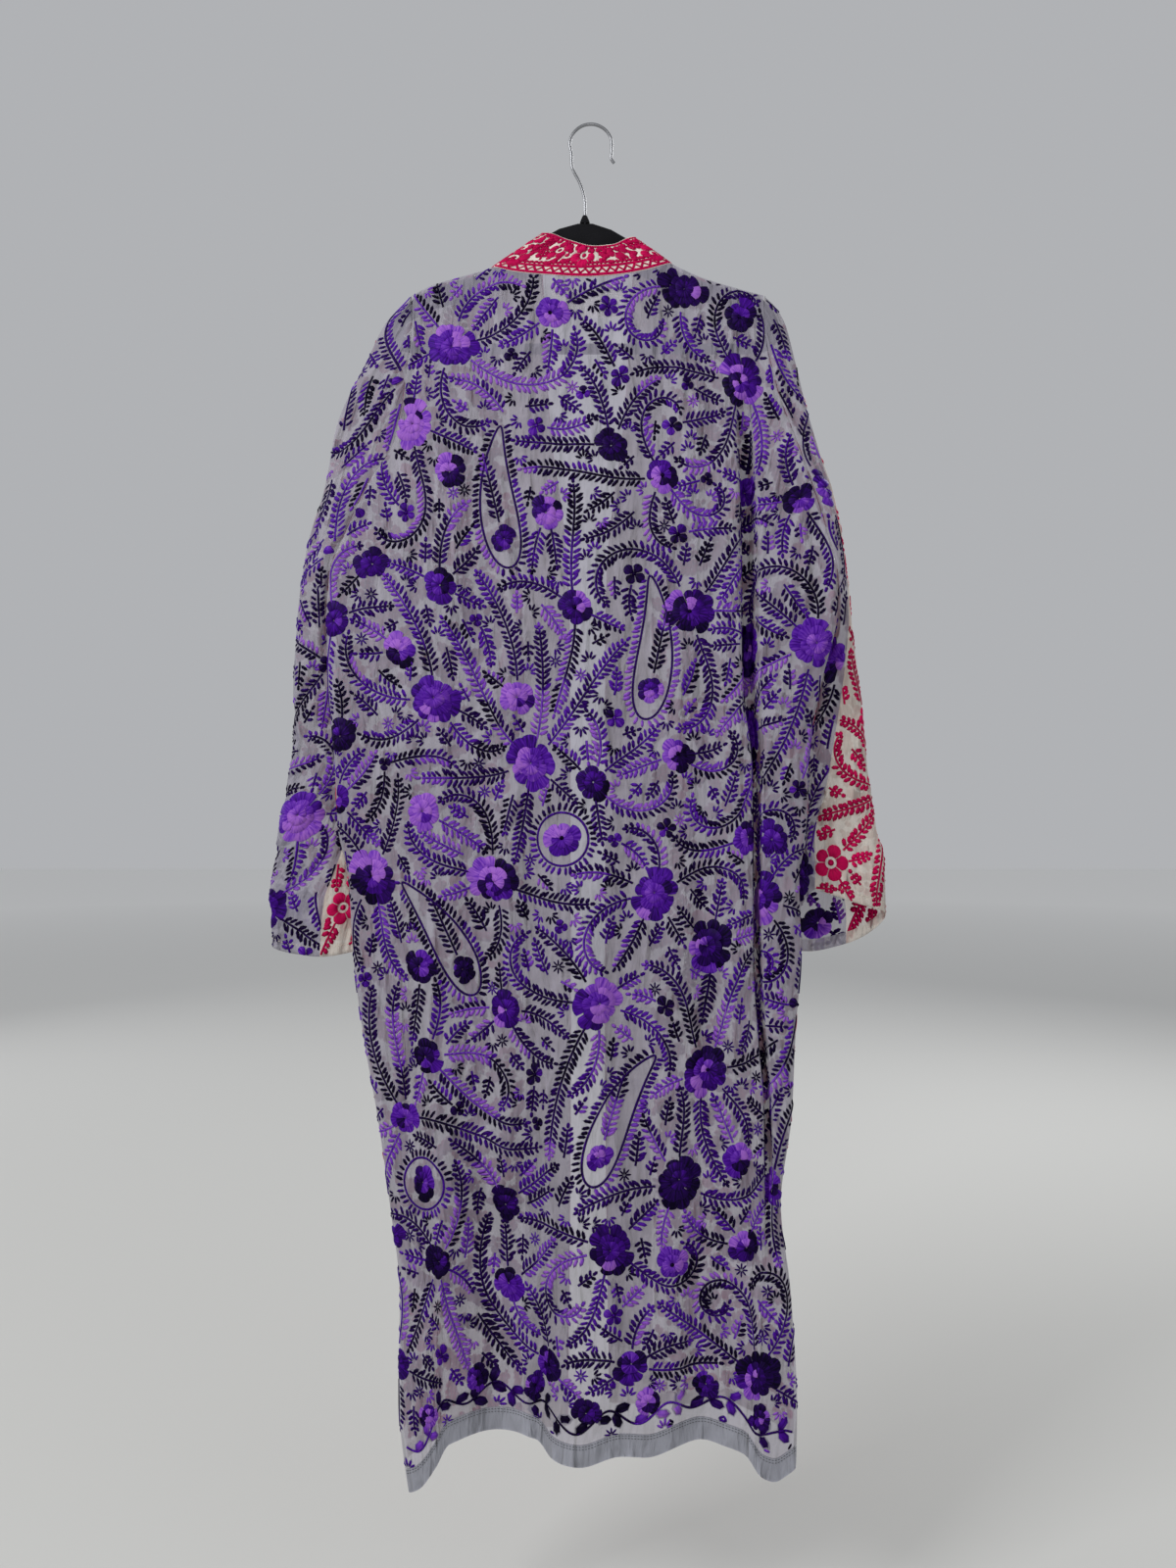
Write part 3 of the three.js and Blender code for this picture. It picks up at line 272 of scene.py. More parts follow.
# Soft creases given for each flat piece: across, height, length, width, depth (a ridge is
# negative) and the way they run, in degrees from upright
CREASES = {
    "back_panel": (
        (-196, -262, 120, 7, 1.8, 16), (-172, -330, 190, 8, -1.6, 4), (-141, -300, 150, 6, 1.7, -3),
        (-96, -420, 240, 7, -1.5, 2), (-30, -330, 210, 9, 1.9, 1), (6, -520, 320, 6, -1.6, -2),
        (22, -300, 130, 6, 1.3, -4), (64, -400, 260, 8, 1.6, 3), (98, -300, 170, 7, -1.7, -5),
        (138, -330, 190, 6, 1.8, 2), (186, -350, 160, 6, 1.6, -8), (-232, -520, 210, 7, 2.0, 9),
        (-205, -690, 280, 8, -2.0, 4), (-250, -800, 190, 6, 1.7, -3), (-150, -640, 330, 7, 1.9, 2),
        (-44, -680, 260, 6, 1.6, -2), (-4, -860, 350, 8, -1.9, 1), (24, -1010, 250, 6, 1.7, 3),
        (60, -760, 300, 7, -1.6, -2), (104, -700, 240, 6, 1.8, 1), (132, -930, 280, 7, 1.6, -3),
        (236, -640, 200, 6, 1.9, 3), (-216, -1040, 240, 7, 1.9, -5), (-176, -1180, 210, 6, -1.8, 3),
        (-128, -960, 260, 6, -1.6, -2), (-84, -1150, 230, 7, 1.7, 4), (-26, -1260, 190, 6, 1.9, -3),
        (8, -1340, 120, 7, -1.8, 2), (70, -1190, 260, 8, 1.8, -2), (98, -1320, 150, 6, -1.9, 4),
        (148, -1240, 220, 7, 1.8, 2), (176, -1340, 130, 6, 1.7, -6), (-60, -1340, 110, 5, 1.8, 8),
        (216, -880, 180, 5, -1.6, 2), (226, -1120, 200, 6, 1.7, -2), (-118, -1300, 130, 6, 1.5, -7),
    ),
    "front_left": (
        (60, -330, 200, 8, 1.8, 3), (104, -420, 240, 7, -1.7, -2), (140, -560, 280, 8, 1.9, 4),
        (34, -640, 320, 7, 1.6, -1), (84, -820, 260, 8, -1.9, 2), (128, -960, 300, 7, 1.8, -3),
        (52, -1080, 240, 7, 1.7, 3), (104, -1240, 210, 8, 1.8, -2), (160, -780, 180, 6, -1.6, 5),
    ),
    "front_right": (
        (-48, -350, 210, 7, 1.7, -3), (-92, -460, 260, 8, -1.8, 2), (-146, -580, 220, 7, 1.9, -4),
        (-60, -720, 300, 8, 1.7, 1), (-108, -900, 280, 7, -1.8, -2), (-40, -1010, 240, 7, 1.6, 3),
        (-84, -1190, 250, 8, 1.8, 2), (-128, -1270, 160, 6, 1.7, -4),
    ),
    "sleeve_left_back": (
        (18, -330, 120, 6, 2.2, 20), (36, -300, 90, 5, -1.8, 8), (10, -440, 110, 5, 1.9, -24),
        (34, -470, 90, 5, -2.0, 34), (22, -540, 80, 5, 2.2, 52), (52, -570, 90, 6, -2.0, -30),
        (18, -620, 95, 5, 2.1, 38), (44, -650, 80, 5, 1.9, 62), (66, -690, 90, 5, -2.1, -44),
        (26, -710, 100, 6, 2.3, 30), (84, -740, 80, 5, 2.0, 56), (48, -770, 90, 6, -2.2, -22),
        (18, -800, 80, 5, 2.0, 48), (74, -820, 95, 5, 2.2, 28), (104, -790, 70, 5, -1.8, -36),
        (40, -855, 60, 5, 1.9, 66), (92, -866, 55, 4, 1.7, 20), (64, -610, 70, 4, 1.8, 14),
    ),
    "sleeve_left_front": (
        (-24, -360, 120, 6, 2.0, -16), (-30, -470, 100, 6, -1.9, 26), (-44, -560, 90, 5, 2.0, -42),
        (-60, -640, 100, 6, 2.1, 36), (-40, -720, 90, 5, -2.0, -28), (-76, -770, 80, 5, 2.0, 50),
        (-36, -830, 70, 5, 1.9, -18),
    ),
    "sleeve_right_back": (
        (-16, -340, 110, 6, 1.9, -12), (-24, -450, 110, 5, -1.8, 16), (-20, -560, 120, 6, 1.9, -20),
        (-40, -650, 110, 6, 2.0, 24), (-60, -740, 120, 6, -2.0, -10), (-34, -800, 90, 5, 1.9, 30),
        (-90, -820, 80, 5, 1.8, -24),
    ),
    "sleeve_right_front": (
        (20, -400, 160, 6, 1.9, 6), (36, -520, 140, 5, -1.8, -4), (30, -640, 160, 6, 2.0, 10),
        (56, -730, 120, 6, 1.9, -14), (34, -790, 100, 5, -1.9, 18), (80, -800, 80, 5, 1.8, 8),
    ),
}


def mix(a, b, s):
    return a + (b - a) * s


def ease(s):
    s = np.clip(s, 0, 1)
    return s * s * (3 - 2 * s)


def bell(s):
    return np.exp(-0.5 * s * s)


def quarter(s):
    """A quarter-round rise from 0 to 1"""
    return np.sqrt(1 - (1 - np.clip(s, 0, 1)) ** 2)


def joined(*arrays):
    return np.concatenate(arrays)


def shoulder_line(x):
    """Height of the upper edge above a place across the back"""
    shoulders = np.where(x < CORNERS["left"], LEFT_SHOULDER.read(x, "z"), RIGHT_SHOULDER.read(x, "z"))
    on_neck = (x >= CORNERS["left"]) & (x <= CORNERS["right"])
    return np.where(on_neck, NECKLINE.read(x, "z"), shoulders)


def neck_depth(x):
    """How far the back neckline stands off the mid-plane"""
    left, right = CORNERS["left"], CORNERS["right"]
    inside = np.minimum(x - left, right - x)
    across = np.clip(1 - 2 * inside / (right - left), -1, 1)
    depth = COLLAR_ROLL * quarter(inside / 5) + (NECK_DEPTH - COLLAR_ROLL) * np.sqrt(1 - across**2)
    return np.where(inside > 0, depth, 0)


def side_gap(under, z):
    """Half the room between back and front at the side edge: armhole, side seam, slit"""
    armhole = ARMHOLE_GAP * ease((ARMHOLE_TOP - z) / 90) * ease((z - under + 7) / 24)
    return SEAM / 2 + armhole + SLIT_SPREAD * ease((SLIT_TOP - z) / 220)


def fold_depth(folds, x, z):
    total = np.zeros(np.broadcast(x, z).shape)
    for place, width, depth, top, bottom, lean in folds:
        run = np.clip((top - z) / (top - bottom), 0, 1)
        across = (x - place - lean * run) / width
        total += depth * ease(run * 4) * mix(0.6, 1, run) * ease((z - bottom) / 110) * bell(across)
    return total


def lens(x, z, top_z, top_depth, reach):
    """Depth of the body's cloth before its folds, the shift of its seams, and where folds may show"""
    left, right = BODY.read(z, "left"), BODY.read(z, "right")
    across = np.clip((2 * x - left - right) / (right - left), -1, 1)
    on_left = across < 0
    far = np.abs(across)
    gap = np.where(on_left, side_gap(UNDERARM["left"], z), side_gap(UNDERARM["right"], z))
    full = reach * np.sqrt(np.maximum(0, 1 - far**2.4)) + gap * far**24
    drop = np.maximum(0, top_z - z)
    on_shoulder = 1 - ease(top_depth / 6)
    start = SEAM / 2 + top_depth
    roll = SHOULDER_ROLL * on_shoulder
    depth = start + roll * quarter(drop / ROLL_DROP) + (full - start - roll) * ease(drop / SETTLE_DROP)
    shift = np.where(on_left, BODY.read(z, "left_y"), BODY.read(z, "right_y")) * far**4
    return depth, shift, (1 - far**6) * ease(drop / 60)


def back_y(x, z, top_z):
    depth, shift, inside = lens(x, z, top_z, neck_depth(x), BODY.read(z, "back"))
    inner, outer = BODY.read(z, "trough_in"), BODY.read(z, "trough_out")
    across = np.abs((x - (inner + outer) / 2) / ((outer - inner) / 2))
    trough = TROUGH.read(z, "depth") * ease((1.15 - across) / 0.75)
    return shift - depth + fold_depth(BACK_FOLDS, x, z) * inside + trough


def front_y(x, z, top_z):
    depth, shift, inside = lens(x, z, top_z, np.zeros_like(x), BODY.read(z, "front"))
    return shift + depth + fold_depth(FRONT_FOLDS, x, z) * inside


def row_drops(length):
    """Distances below the top edge of a piece's rows, as parts of its length"""
    below = TOP_ROWS[-1]
    count = int((length - below) / ROW_STEP)
    return joined(TOP_ROWS[:-1], np.linspace(below, length, count)) / length


# The back's lines across: each stretch goes from one named line to the next
BACK_STRETCHES = ("left", "neck_left", "neck_right", "trough_in", "trough_out", "right")


def back_line(line, z):
    if line == "neck_left":
        return CORNERS["left"] * (1 - NECK_DRIFT * ease(z / HEM_Z))
    if line == "neck_right":
        return CORNERS["right"] * (1 - NECK_DRIFT * ease(z / HEM_Z))
    return BODY.read(z, line)


def back_x(stretch, z):
    """Place across of a line that lies at a part of the way through a stretch of the back"""
    i = min(int(stretch), len(BACK_STRETCHES) - 2)
    return mix(back_line(BACK_STRETCHES[i], z), back_line(BACK_STRETCHES[i + 1], z), stretch - i)


def even_stretches():
    """Lines across the back that are an even distance apart along the cloth"""
    trial = np.linspace(0, len(BACK_STRETCHES) - 1, 1200)
    x = np.array([back_x(stretch, np.array([EVEN_AT]))[0] for stretch in trial])
    y = back_y(x, np.full_like(x, EVEN_AT), EVEN_TOP)
    along = joined([0], np.cumsum(np.hypot(np.diff(x), np.diff(y))))
    count = int(along[-1] / COLUMN_STEP)
    return np.interp(np.linspace(0, along[-1], count), along, trial)


def hem_of(x):
    return HEM.read(x, "z")


def back_grid(parts, from_top=True):
    """Points of the back, or of the band below it, row by row from top to bottom"""
    columns = []
    for stretch in even_stretches():
        top = shoulder_line(back_x(stretch, np.array([float(TOP_Z)])))
        hem = hem_of(back_x(stretch, np.array([float(HEM_Z)])))
        if from_top:
            z = mix(top, hem + HEM_BAND, parts)
        else:
            z = mix(hem + HEM_BAND - SEAM, hem, parts)
        x = back_x(stretch, z)
        columns.append(np.stack([x, back_y(x, z, top), z], axis=1))
    return np.stack(columns, axis=1)


def front_line(side, part, parts_down):
    """Points of one line down a front, at a part of the way from the side edge to the collar"""
    start = np.array([float(TOP_Z)])
    top = shoulder_line(mix(BODY.read(start, side), FRONT_EDGE.read(start, side), part))
    hem = hem_of(BODY.read(np.array([float(HEM_Z)]), side)) + HEM_BAND
    z = mix(top, hem + FRONT_DIP * math.sin(math.pi * part), parts_down)
    x = mix(BODY.read(z, side), FRONT_EDGE.read(z, side), part)
    return np.stack([x, front_y(x, z, top), z], axis=1)


def front_grid(side):
    parts_down = row_drops(SIDE_LENGTH)
    parts = [i / FRONT_COLUMNS for i in range(FRONT_COLUMNS + 1)]
    grid = np.stack([front_line(side, part, parts_down) for part in parts], axis=1)
    drop = grid[0, -1, 2] - grid[:, -1, 2]
    grid[:, -1, 0] -= INWARD[side] * (SEAM + TOP_ROOM * (1 - ease(drop / 16)))
    return grid[:, ::-1] if side == "left" else grid


def side_edge_z(side, row):
    top = shoulder_line(BODY.read(float(TOP_Z), side))
    bottom = hem_of(BODY.read(float(HEM_Z), side)) + HEM_BAND
    drops = joined(SIDE_DROPS, [SIDE_LENGTH])
    return mix(top, bottom, np.interp(row, np.arange(len(drops)), drops / SIDE_LENGTH))


def sleeve_grid(side, half):
    """Points of half a sleeve, from its outer seam to the armhole and, below it, the inner seam"""
    below = UNDERARM_ROW + 1
    rows = joined(np.arange(0, 4, 0.25), np.arange(4, UNDERARM_ROW, 0.1), [UNDERARM_ROW],
                  np.arange(below, below + CUFF_ROWS + 0.05, 0.1))
    row, part = np.meshgrid(rows, np.linspace(0, 1, SLEEVE_COLUMNS), indexing="ij")
    sleeve = SLEEVES[side]
    sign, start = HALVES[half]
    outward = -INWARD[side]
    in_armhole = row <= UNDERARM_ROW
    edge_z = side_edge_z(side, np.minimum(row, below))
    lower = np.maximum(0, row - below) / CUFF_ROWS
    about = mix(edge_z, CUFF_HEIGHT, lower)
    angle = mix(start + sleeve.read(about, "outer_seam"), sleeve.read(about, "inner_seam"), part)
    radians = np.radians(angle)
    cuff = CUFFS[side].read(np.where((side == "left") & (angle > 270), angle - 360, angle), "z")
    cap = np.interp(row, np.arange(len(CAP_DROPS)), CAP_DROPS)
    z = np.where(in_armhole, edge_z - cap * (1 - part), mix(edge_z, cuff, lower))
    top = shoulder_line(BODY.read(float(TOP_Z), side))
    edge_x = BODY.read(edge_z, side)
    edge_y = (back_y if half == "back" else front_y)(edge_x, edge_z, top)
    top_room = TOP_ROOM * (1 - ease((ARMHOLE_TOP - edge_z) / 16))
    inner = np.where(in_armhole, edge_x + outward * (SEAM + top_room), sleeve.read(z, "inner"))
    inner_y = np.where(in_armhole, edge_y, sleeve.read(z, "inner_y"))
    turned = (radians if half == "back" else 2 * math.pi - radians) * ATTACH
    least = (1 + math.cos(math.pi * ATTACH)) / 2
    towards_outer = np.where(
        in_armhole, ((1 + np.cos(turned)) / 2 - least) / (1 - least), (1 + np.cos(radians)) / 2)
    off = np.where(
        in_armhole,
        sign * (np.sin(turned) - math.sin(math.pi * ATTACH) * turned / (math.pi * ATTACH)),
        np.sin(radians))
    depth = sleeve.read(z, "half") * np.interp(row, np.arange(len(ROLL_PARTS)), ROLL_PARTS)
    x = mix(inner, sleeve.read(z, "outer"), towards_outer)
    y = mix(inner_y, sleeve.read(z, "outer_y"), towards_outer) - depth * off
    grid = np.stack([x, y, z], axis=2)
    return grid if (side == "left") == (half == "back") else grid[:, ::-1]


def collar_lines():
    """The band's seam and its free edge: up the left front, round the neck, down the right front"""
    seams, frees = [], []
    for side in ("left", "right"):
        seam = front_line(side, 1, row_drops(SIDE_LENGTH)[1:])
        z = seam[:, 2]
        drop = NECKLINE.read(float(CORNERS[side]), "z") - z
        peak_x, peak_z = PEAKS[side]
        free = np.stack([
            mix(peak_x, seam[:, 0] + INWARD[side] * BAND_WIDTH, ease(drop / 330)),
            COLLAR_ROLL * quarter(drop / 3) + (seam[:, 1] + 4 - COLLAR_ROLL) * ease(drop / 60),
            mix(peak_z, z, ease(drop / 200)),
        ], axis=1)
        seams.append(seam)
        frees.append(free)
    x = np.linspace(CORNERS["left"], CORNERS["right"], NECK_COLUMNS)
    part = (x - CORNERS["left"]) / (CORNERS["right"] - CORNERS["left"])
    edge_x = mix(PEAKS["left"][0], PEAKS["right"][0], part)
    depth = COLLAR_ROLL * quarter(np.minimum(part, 1 - part) / 0.04)
    depth += FREE_EDGE_DEPTH * np.sqrt(1 - (2 * part - 1) ** 2)
    seams.insert(1, np.stack([x, -neck_depth(x), NECKLINE.read(x, "z") + SEAM], axis=1))
    frees.insert(1, np.stack([edge_x, -depth, FREE_EDGE.read(edge_x, "z")], axis=1))
    return (joined(seams[0][::-1], seams[1], seams[2]), joined(frees[0][::-1], frees[1], frees[2]))


def normals_of(points):
    """Outward directions of a grid whose rows run down and columns to the right, seen from outside"""
    across, down = np.empty_like(points), np.empty_like(points)
    across[:, 1:-1] = points[:, 2:] - points[:, :-2]
    across[:, 0], across[:, -1] = points[:, 1] - points[:, 0], points[:, -1] - points[:, -2]
    down[1:-1] = points[2:] - points[:-2]
    down[0], down[-1] = points[1] - points[0], points[-1] - points[-2]
    normals = np.cross(down, across)
    return normals / np.maximum(np.linalg.norm(normals, axis=2, keepdims=True), 1e-9)


def run_along(points, axis):
    """Distance along each row (axis 1) or column (axis 0) of a grid"""
    steps = np.linalg.norm(np.diff(points, axis=axis), axis=2)
    return np.insert(np.cumsum(steps, axis=axis), 0, 0, axis=axis)


class Panel:
    """One piece of cloth: its hung points in mm, and the place of each on the flat piece"""

    def __init__(self, name, points, flat=None, middle=0.0):
        if flat is None:
            across = run_along(points, 1)
            origin = np.argmin(np.abs(points[len(points) // 2, :, 0] - middle))
            across -= across[:, origin:origin + 1]
            flat = np.stack([across, points[..., 2]], axis=2)
        self.name, self.flat = name, flat
        self.points = points - normals_of(points) * self.creases()[..., None]
        self.normals = normals_of(self.points)
        places = flat.reshape(-1, 2)
        self.tree = KDTree(len(places))
        for i, (x, y) in enumerate(places):
            self.tree.insert((x, y, 0), i)
        self.tree.balance()

    def creases(self):
        """Depth of the soft creases, which fade out towards the piece's edges"""
        depth = np.zeros(self.flat.shape[:2])
        for x, y, length, width, deep, turn in CREASES.get(self.name, ()):
            off = self.flat - (x, y)
            sine, cosine = math.sin(math.radians(turn)), math.cos(math.radians(turn))
            along = off[..., 1] * cosine + off[..., 0] * sine
            aside = off[..., 0] * cosine - off[..., 1] * sine
            depth += deep * bell(aside / width) * ease((1 - np.abs(along) * 2 / length) * 2)
        across, height = self.flat[..., 0], self.flat[..., 1]
        from_ends = np.minimum(height[:1] - height, height - height[-1:])
        from_sides = np.minimum(across - across[:, :1], across[:, -1:] - across)
        faded = depth * ease(from_ends / CREASE_FADE["ends"]) * ease(from_sides / CREASE_FADE["sides"])
        return faded * settings().cloth.crease_share

    def seat(self, places, heights):
        """Points at places on the flat piece, raised by heights, and whether each is on the piece"""
        rows, columns = self.flat.shape[:2]
        nearest = np.array([self.tree.find((x, y, 0))[1] for x, y in places])
        r, c = np.divmod(nearest, columns)
        r, c = np.clip(r, 1, rows - 2), np.clip(c, 1, columns - 2)
        by_row = (self.flat[r + 1, c] - self.flat[r - 1, c]) / 2
        by_column = (self.flat[r, c + 1] - self.flat[r, c - 1]) / 2
        off = places - self.flat[r, c]
        size = by_column[:, 0] * by_row[:, 1] - by_row[:, 0] * by_column[:, 1]
        size = np.where(np.abs(size) < 1e-6, 1e-6, size)
        column = c + (off[:, 0] * by_row[:, 1] - off[:, 1] * by_row[:, 0]) / size
        row = r + (by_column[:, 0] * off[:, 1] - by_column[:, 1] * off[:, 0]) / size
        on_piece = (row > -0.2) & (row < rows - 0.8) & (column > -0.2) & (column < columns - 0.8)
        row, column = np.clip(row, 0, rows - 1.001), np.clip(column, 0, columns - 1.001)
        i, j = row.astype(int), column.astype(int)
        s, t = (row - i)[:, None], (column - j)[:, None]

        def between(grid):
            return mix(mix(grid[i, j], grid[i, j + 1], t), mix(grid[i + 1, j], grid[i + 1, j + 1], t), s)

        return between(self.points) + between(self.normals) * heights[:, None], on_piece

    def turned_under(self, depth):
        """The piece's points with its bottom edge turned under inside it, to a depth in mm"""
        rows = max(2, round(depth / ROW_STEP) + 1)
        inner = (self.points - self.normals * DOUBLING)[-rows:][::-1]
        return joined(self.points, inner)


# Materials
def hex_linear(colour):
    """A linear colour from an sRGB hex value"""
    parts = [int(colour[i:i + 2], 16) / 255 for i in (1, 3, 5)]
    return tuple(p / 12.92 if p <= 0.04045 else ((p + 0.055) / 1.055) ** 2.4 for p in parts) + (1.0,)


def shaded(colour, factor):
    """A linear colour made lighter or darker"""
    return tuple(min(1.0, c * factor) for c in tuple(colour)[:3]) + (1.0,)


def add_node(tree, kind, inputs=None, stops=None, **details):
    """A node with its details, links and values, and the stops of its colour ramp"""
    node = tree.nodes.new(kind)
    for key, value in details.items():
        setattr(node, key, value)
    if stops:
        for _ in stops[2:]:
            node.color_ramp.elements.new(0.5)
        for element, (place, colour) in zip(node.color_ramp.elements, stops):
            element.position, element.color = place, colour
    for socket, value in (inputs or {}).items():
        if isinstance(value, bpy.types.NodeSocket):
            tree.links.new(value, node.inputs[socket])
        else:
            node.inputs[socket].default_value = value
    return node


def new_material(name, **uniform):
    """A material with one Principled shader, and the values that are the same all over it"""
    material = bpy.data.materials.new(name)
    material.use_nodes = True
    shader = material.node_tree.nodes["Principled BSDF"]
    for socket, value in uniform.items():
        shader.inputs[socket.replace("_", " ")].default_value = value
    return material.node_tree, shader


def flat_place(tree, across, along):
    """The piece's UV map, in metres on the flat cloth, scaled to a pattern's two spacings in mm"""
    place = add_node(tree, "ShaderNodeTexCoord").outputs["UV"]
    scale = (1 / (across * MM), 1 / (along * MM), 1)
    return add_node(tree, "ShaderNodeMapping", {"Vector": place, "Scale": scale}).outputs["Vector"]


def georgette(name, colour, cover):
    """Georgette, woven from crepe-twisted yarn and garment-washed. The twist gives a dull, pebbled
    face, washing leaves fine lengthwise crinkles, and the open weave lets some light through"""
    cloth = settings().cloth
    tree, shader = new_material(name, Roughness=0.82, Alpha=cover, Sheen_Weight=0.16,
                                Sheen_Roughness=0.5, Specular_IOR_Level=0.25)
    width = cloth.crinkle_width / MM
    crinkle = add_node(tree, "ShaderNodeTexNoise", {
        "Vector": flat_place(tree, width, width * 4), "Scale": 1.0, "Detail": 3.0, "Roughness": 0.55,
        "Distortion": 0.5})
    broad = add_node(tree, "ShaderNodeTexNoise", {
        "Vector": flat_place(tree, width * 3, width * 11), "Scale": 1.0, "Detail": 2.0, "Distortion": 0.4})
    # The yarns are 0.3 mm apart, and are drawn at 1.3 mm so that they show
    pebble = add_node(tree, "ShaderNodeTexNoise", {
        "Vector": flat_place(tree, 1.3, 1.3), "Scale": 1.0, "Detail": 2.0, "Roughness": 0.7})
    both = add_node(tree, "ShaderNodeMath", {
        0: crinkle.outputs["Fac"], 1: broad.outputs["Fac"]}, operation="ADD")
    tone = add_node(tree, "ShaderNodeMapRange", {
        "Value": both.outputs[0], "From Min": 0.7, "From Max": 1.3, "To Min": 0.0, "To Max": 1.0})
    # Painted shade and light: the cloth's colour is darker and lighter with the crinkles and the broad
    # waves, from the same noise that raises them in the bumps below
    ramp = add_node(tree, "ShaderNodeValToRGB", {"Fac": tone.outputs["Result"]}, stops=(
        (0.0, shaded(colour, 0.82)), (0.5, shaded(colour, 1.0)), (1.0, shaded(colour, 1.18))))
    tree.links.new(ramp.outputs["Color"], shader.inputs["Base Color"])
    waves = add_node(tree, "ShaderNodeBump", {
        "Height": broad.outputs["Fac"], "Strength": 0.9, "Distance": 0.024})
    relief = add_node(tree, "ShaderNodeBump", {
        "Height": crinkle.outputs["Fac"], "Strength": 0.7, "Distance": 0.0055,
        "Normal": waves.outputs["Normal"]})
    weave = add_node(tree, "ShaderNodeBump", {
        "Height": pebble.outputs["Fac"], "Strength": 0.35, "Distance": 0.0006,
        "Normal": relief.outputs["Normal"]})
    tree.links.new(weave.outputs["Normal"], shader.inputs["Normal"])


def embroidery_thread(name, stops):
    """Stranded rayon, hand-stitched in satin and stem stitch. It is space-dyed, so its shade drifts
    along a vine, and its laid strands give a soft silky gloss"""
    tree, shader = new_material(name, Roughness=0.5, Specular_IOR_Level=0.05)
    shade = add_node(tree, "ShaderNodeAttribute", attribute_name="shade").outputs["Fac"]
    # Strands are 0.3 mm wide, and are drawn at 2 mm so that they show
    strands = add_node(tree, "ShaderNodeTexNoise", {
        "Vector": flat_place(tree, 2, 15), "Scale": 1.0, "Detail": 2.0})
    # Painted shade and sheen: the same noise that raises the strands darkens and lightens the thread
    # strand by strand, on top of the dye's own shade
    wander = add_node(tree, "ShaderNodeMath", {
        0: strands.outputs["Fac"], 1: 0.9, 2: -0.45}, operation="MULTIPLY_ADD")
    total = add_node(tree, "ShaderNodeMath", {0: shade, 1: wander.outputs[0]}, operation="ADD")
    tone = add_node(tree, "ShaderNodeValToRGB", {"Fac": total.outputs[0]}, stops=stops)
    tree.links.new(tone.outputs["Color"], shader.inputs["Base Color"])
    relief = add_node(tree, "ShaderNodeBump", {
        "Height": strands.outputs["Fac"], "Strength": 0.8, "Distance": 0.001})
    tree.links.new(relief.outputs["Normal"], shader.inputs["Normal"])


def sewing_thread(name, colour):
    """Spun polyester, machine-stitched. Its twist shows as a slight change of tone along a stitch, a
    painted shade that stands in for the grooves of the twist
    """
    tree, shader = new_material(name, Roughness=0.7, Sheen_Weight=0.2)
    place = add_node(tree, "ShaderNodeTexCoord").outputs["Object"]
    # The twist is 0.3 mm long, and is drawn at 1.1 mm so that it shows
    twist = add_node(tree, "ShaderNodeTexNoise", {"Vector": place, "Scale": 900.0, "Detail": 1.0})
    # Painted shade: the thread is darker where the noise is low, for the shade in the twist's grooves
    tone = add_node(tree, "ShaderNodeValToRGB", {"Fac": twist.outputs["Fac"]}, stops=(
        (0.3, shaded(colour, 0.6)), (0.7, shaded(colour, 1.0))))
    tree.links.new(tone.outputs["Color"], shader.inputs["Base Color"])


def satin_tape():
    """Polyester tape, woven in satin and sewn in blank. Its long floats give a smooth, ribbed face"""
    tree, shader = new_material("woven satin tape", Roughness=0.45, Sheen_Weight=0.2)
    ribs = add_node(tree, "ShaderNodeTexWave", {
        "Vector": flat_place(tree, 8, 8), "Scale": 1.0, "Distortion": 0.4, "Detail": 1.0},
        bands_direction="Y")
    # Painted shade and light: the tape is darker and lighter with the same ribs that raise its face in the
    # bump below
    tone = add_node(tree, "ShaderNodeValToRGB", {"Fac": ribs.outputs["Fac"]}, stops=(
        (0.0, hex_linear("#e6e5df")), (1.0, hex_linear("#fbfaf5"))))
    tree.links.new(tone.outputs["Color"], shader.inputs["Base Color"])
    relief = add_node(tree, "ShaderNodeBump", {
        "Height": ribs.outputs["Fac"], "Strength": 0.4, "Distance": 0.0003})
    tree.links.new(relief.outputs["Normal"], shader.inputs["Normal"])


def flocked_velvet():
    """Nylon flock, blown upright onto glue on moulded plastic. The fibres drink light, and leave
    only a faint grey edge where they are seen from the side"""
    tree, shader = new_material("black flocked velvet", Roughness=0.95, Sheen_Weight=0.4,
                                Sheen_Roughness=0.6, Specular_IOR_Level=0.15)
    shader.inputs["Sheen Tint"].default_value = hex_linear("#46464c")
    colour = settings().hanger.velvet
    place = add_node(tree, "ShaderNodeTexCoord").outputs["Object"]
    # The fibres are 0.5 mm long, and their nap is drawn at 1.1 mm so that it shows. Rubbed patches are
    # about 36 mm across
    nap = add_node(tree, "ShaderNodeTexNoise", {"Vector": place, "Scale": 900.0, "Detail": 3.0})
    rubbed = add_node(tree, "ShaderNodeTexNoise", {"Vector": place, "Scale": 28.0, "Detail": 2.0})
    tone = add_node(tree, "ShaderNodeValToRGB", {"Fac": rubbed.outputs["Fac"]}, stops=(
        (0.35, shaded(colour, 0.6)), (0.7, shaded(colour, 1.4))))
    tree.links.new(tone.outputs["Color"], shader.inputs["Base Color"])
    relief = add_node(tree, "ShaderNodeBump", {
        "Height": nap.outputs["Fac"], "Strength": 0.6, "Distance": 0.0006})
    tree.links.new(relief.outputs["Normal"], shader.inputs["Normal"])


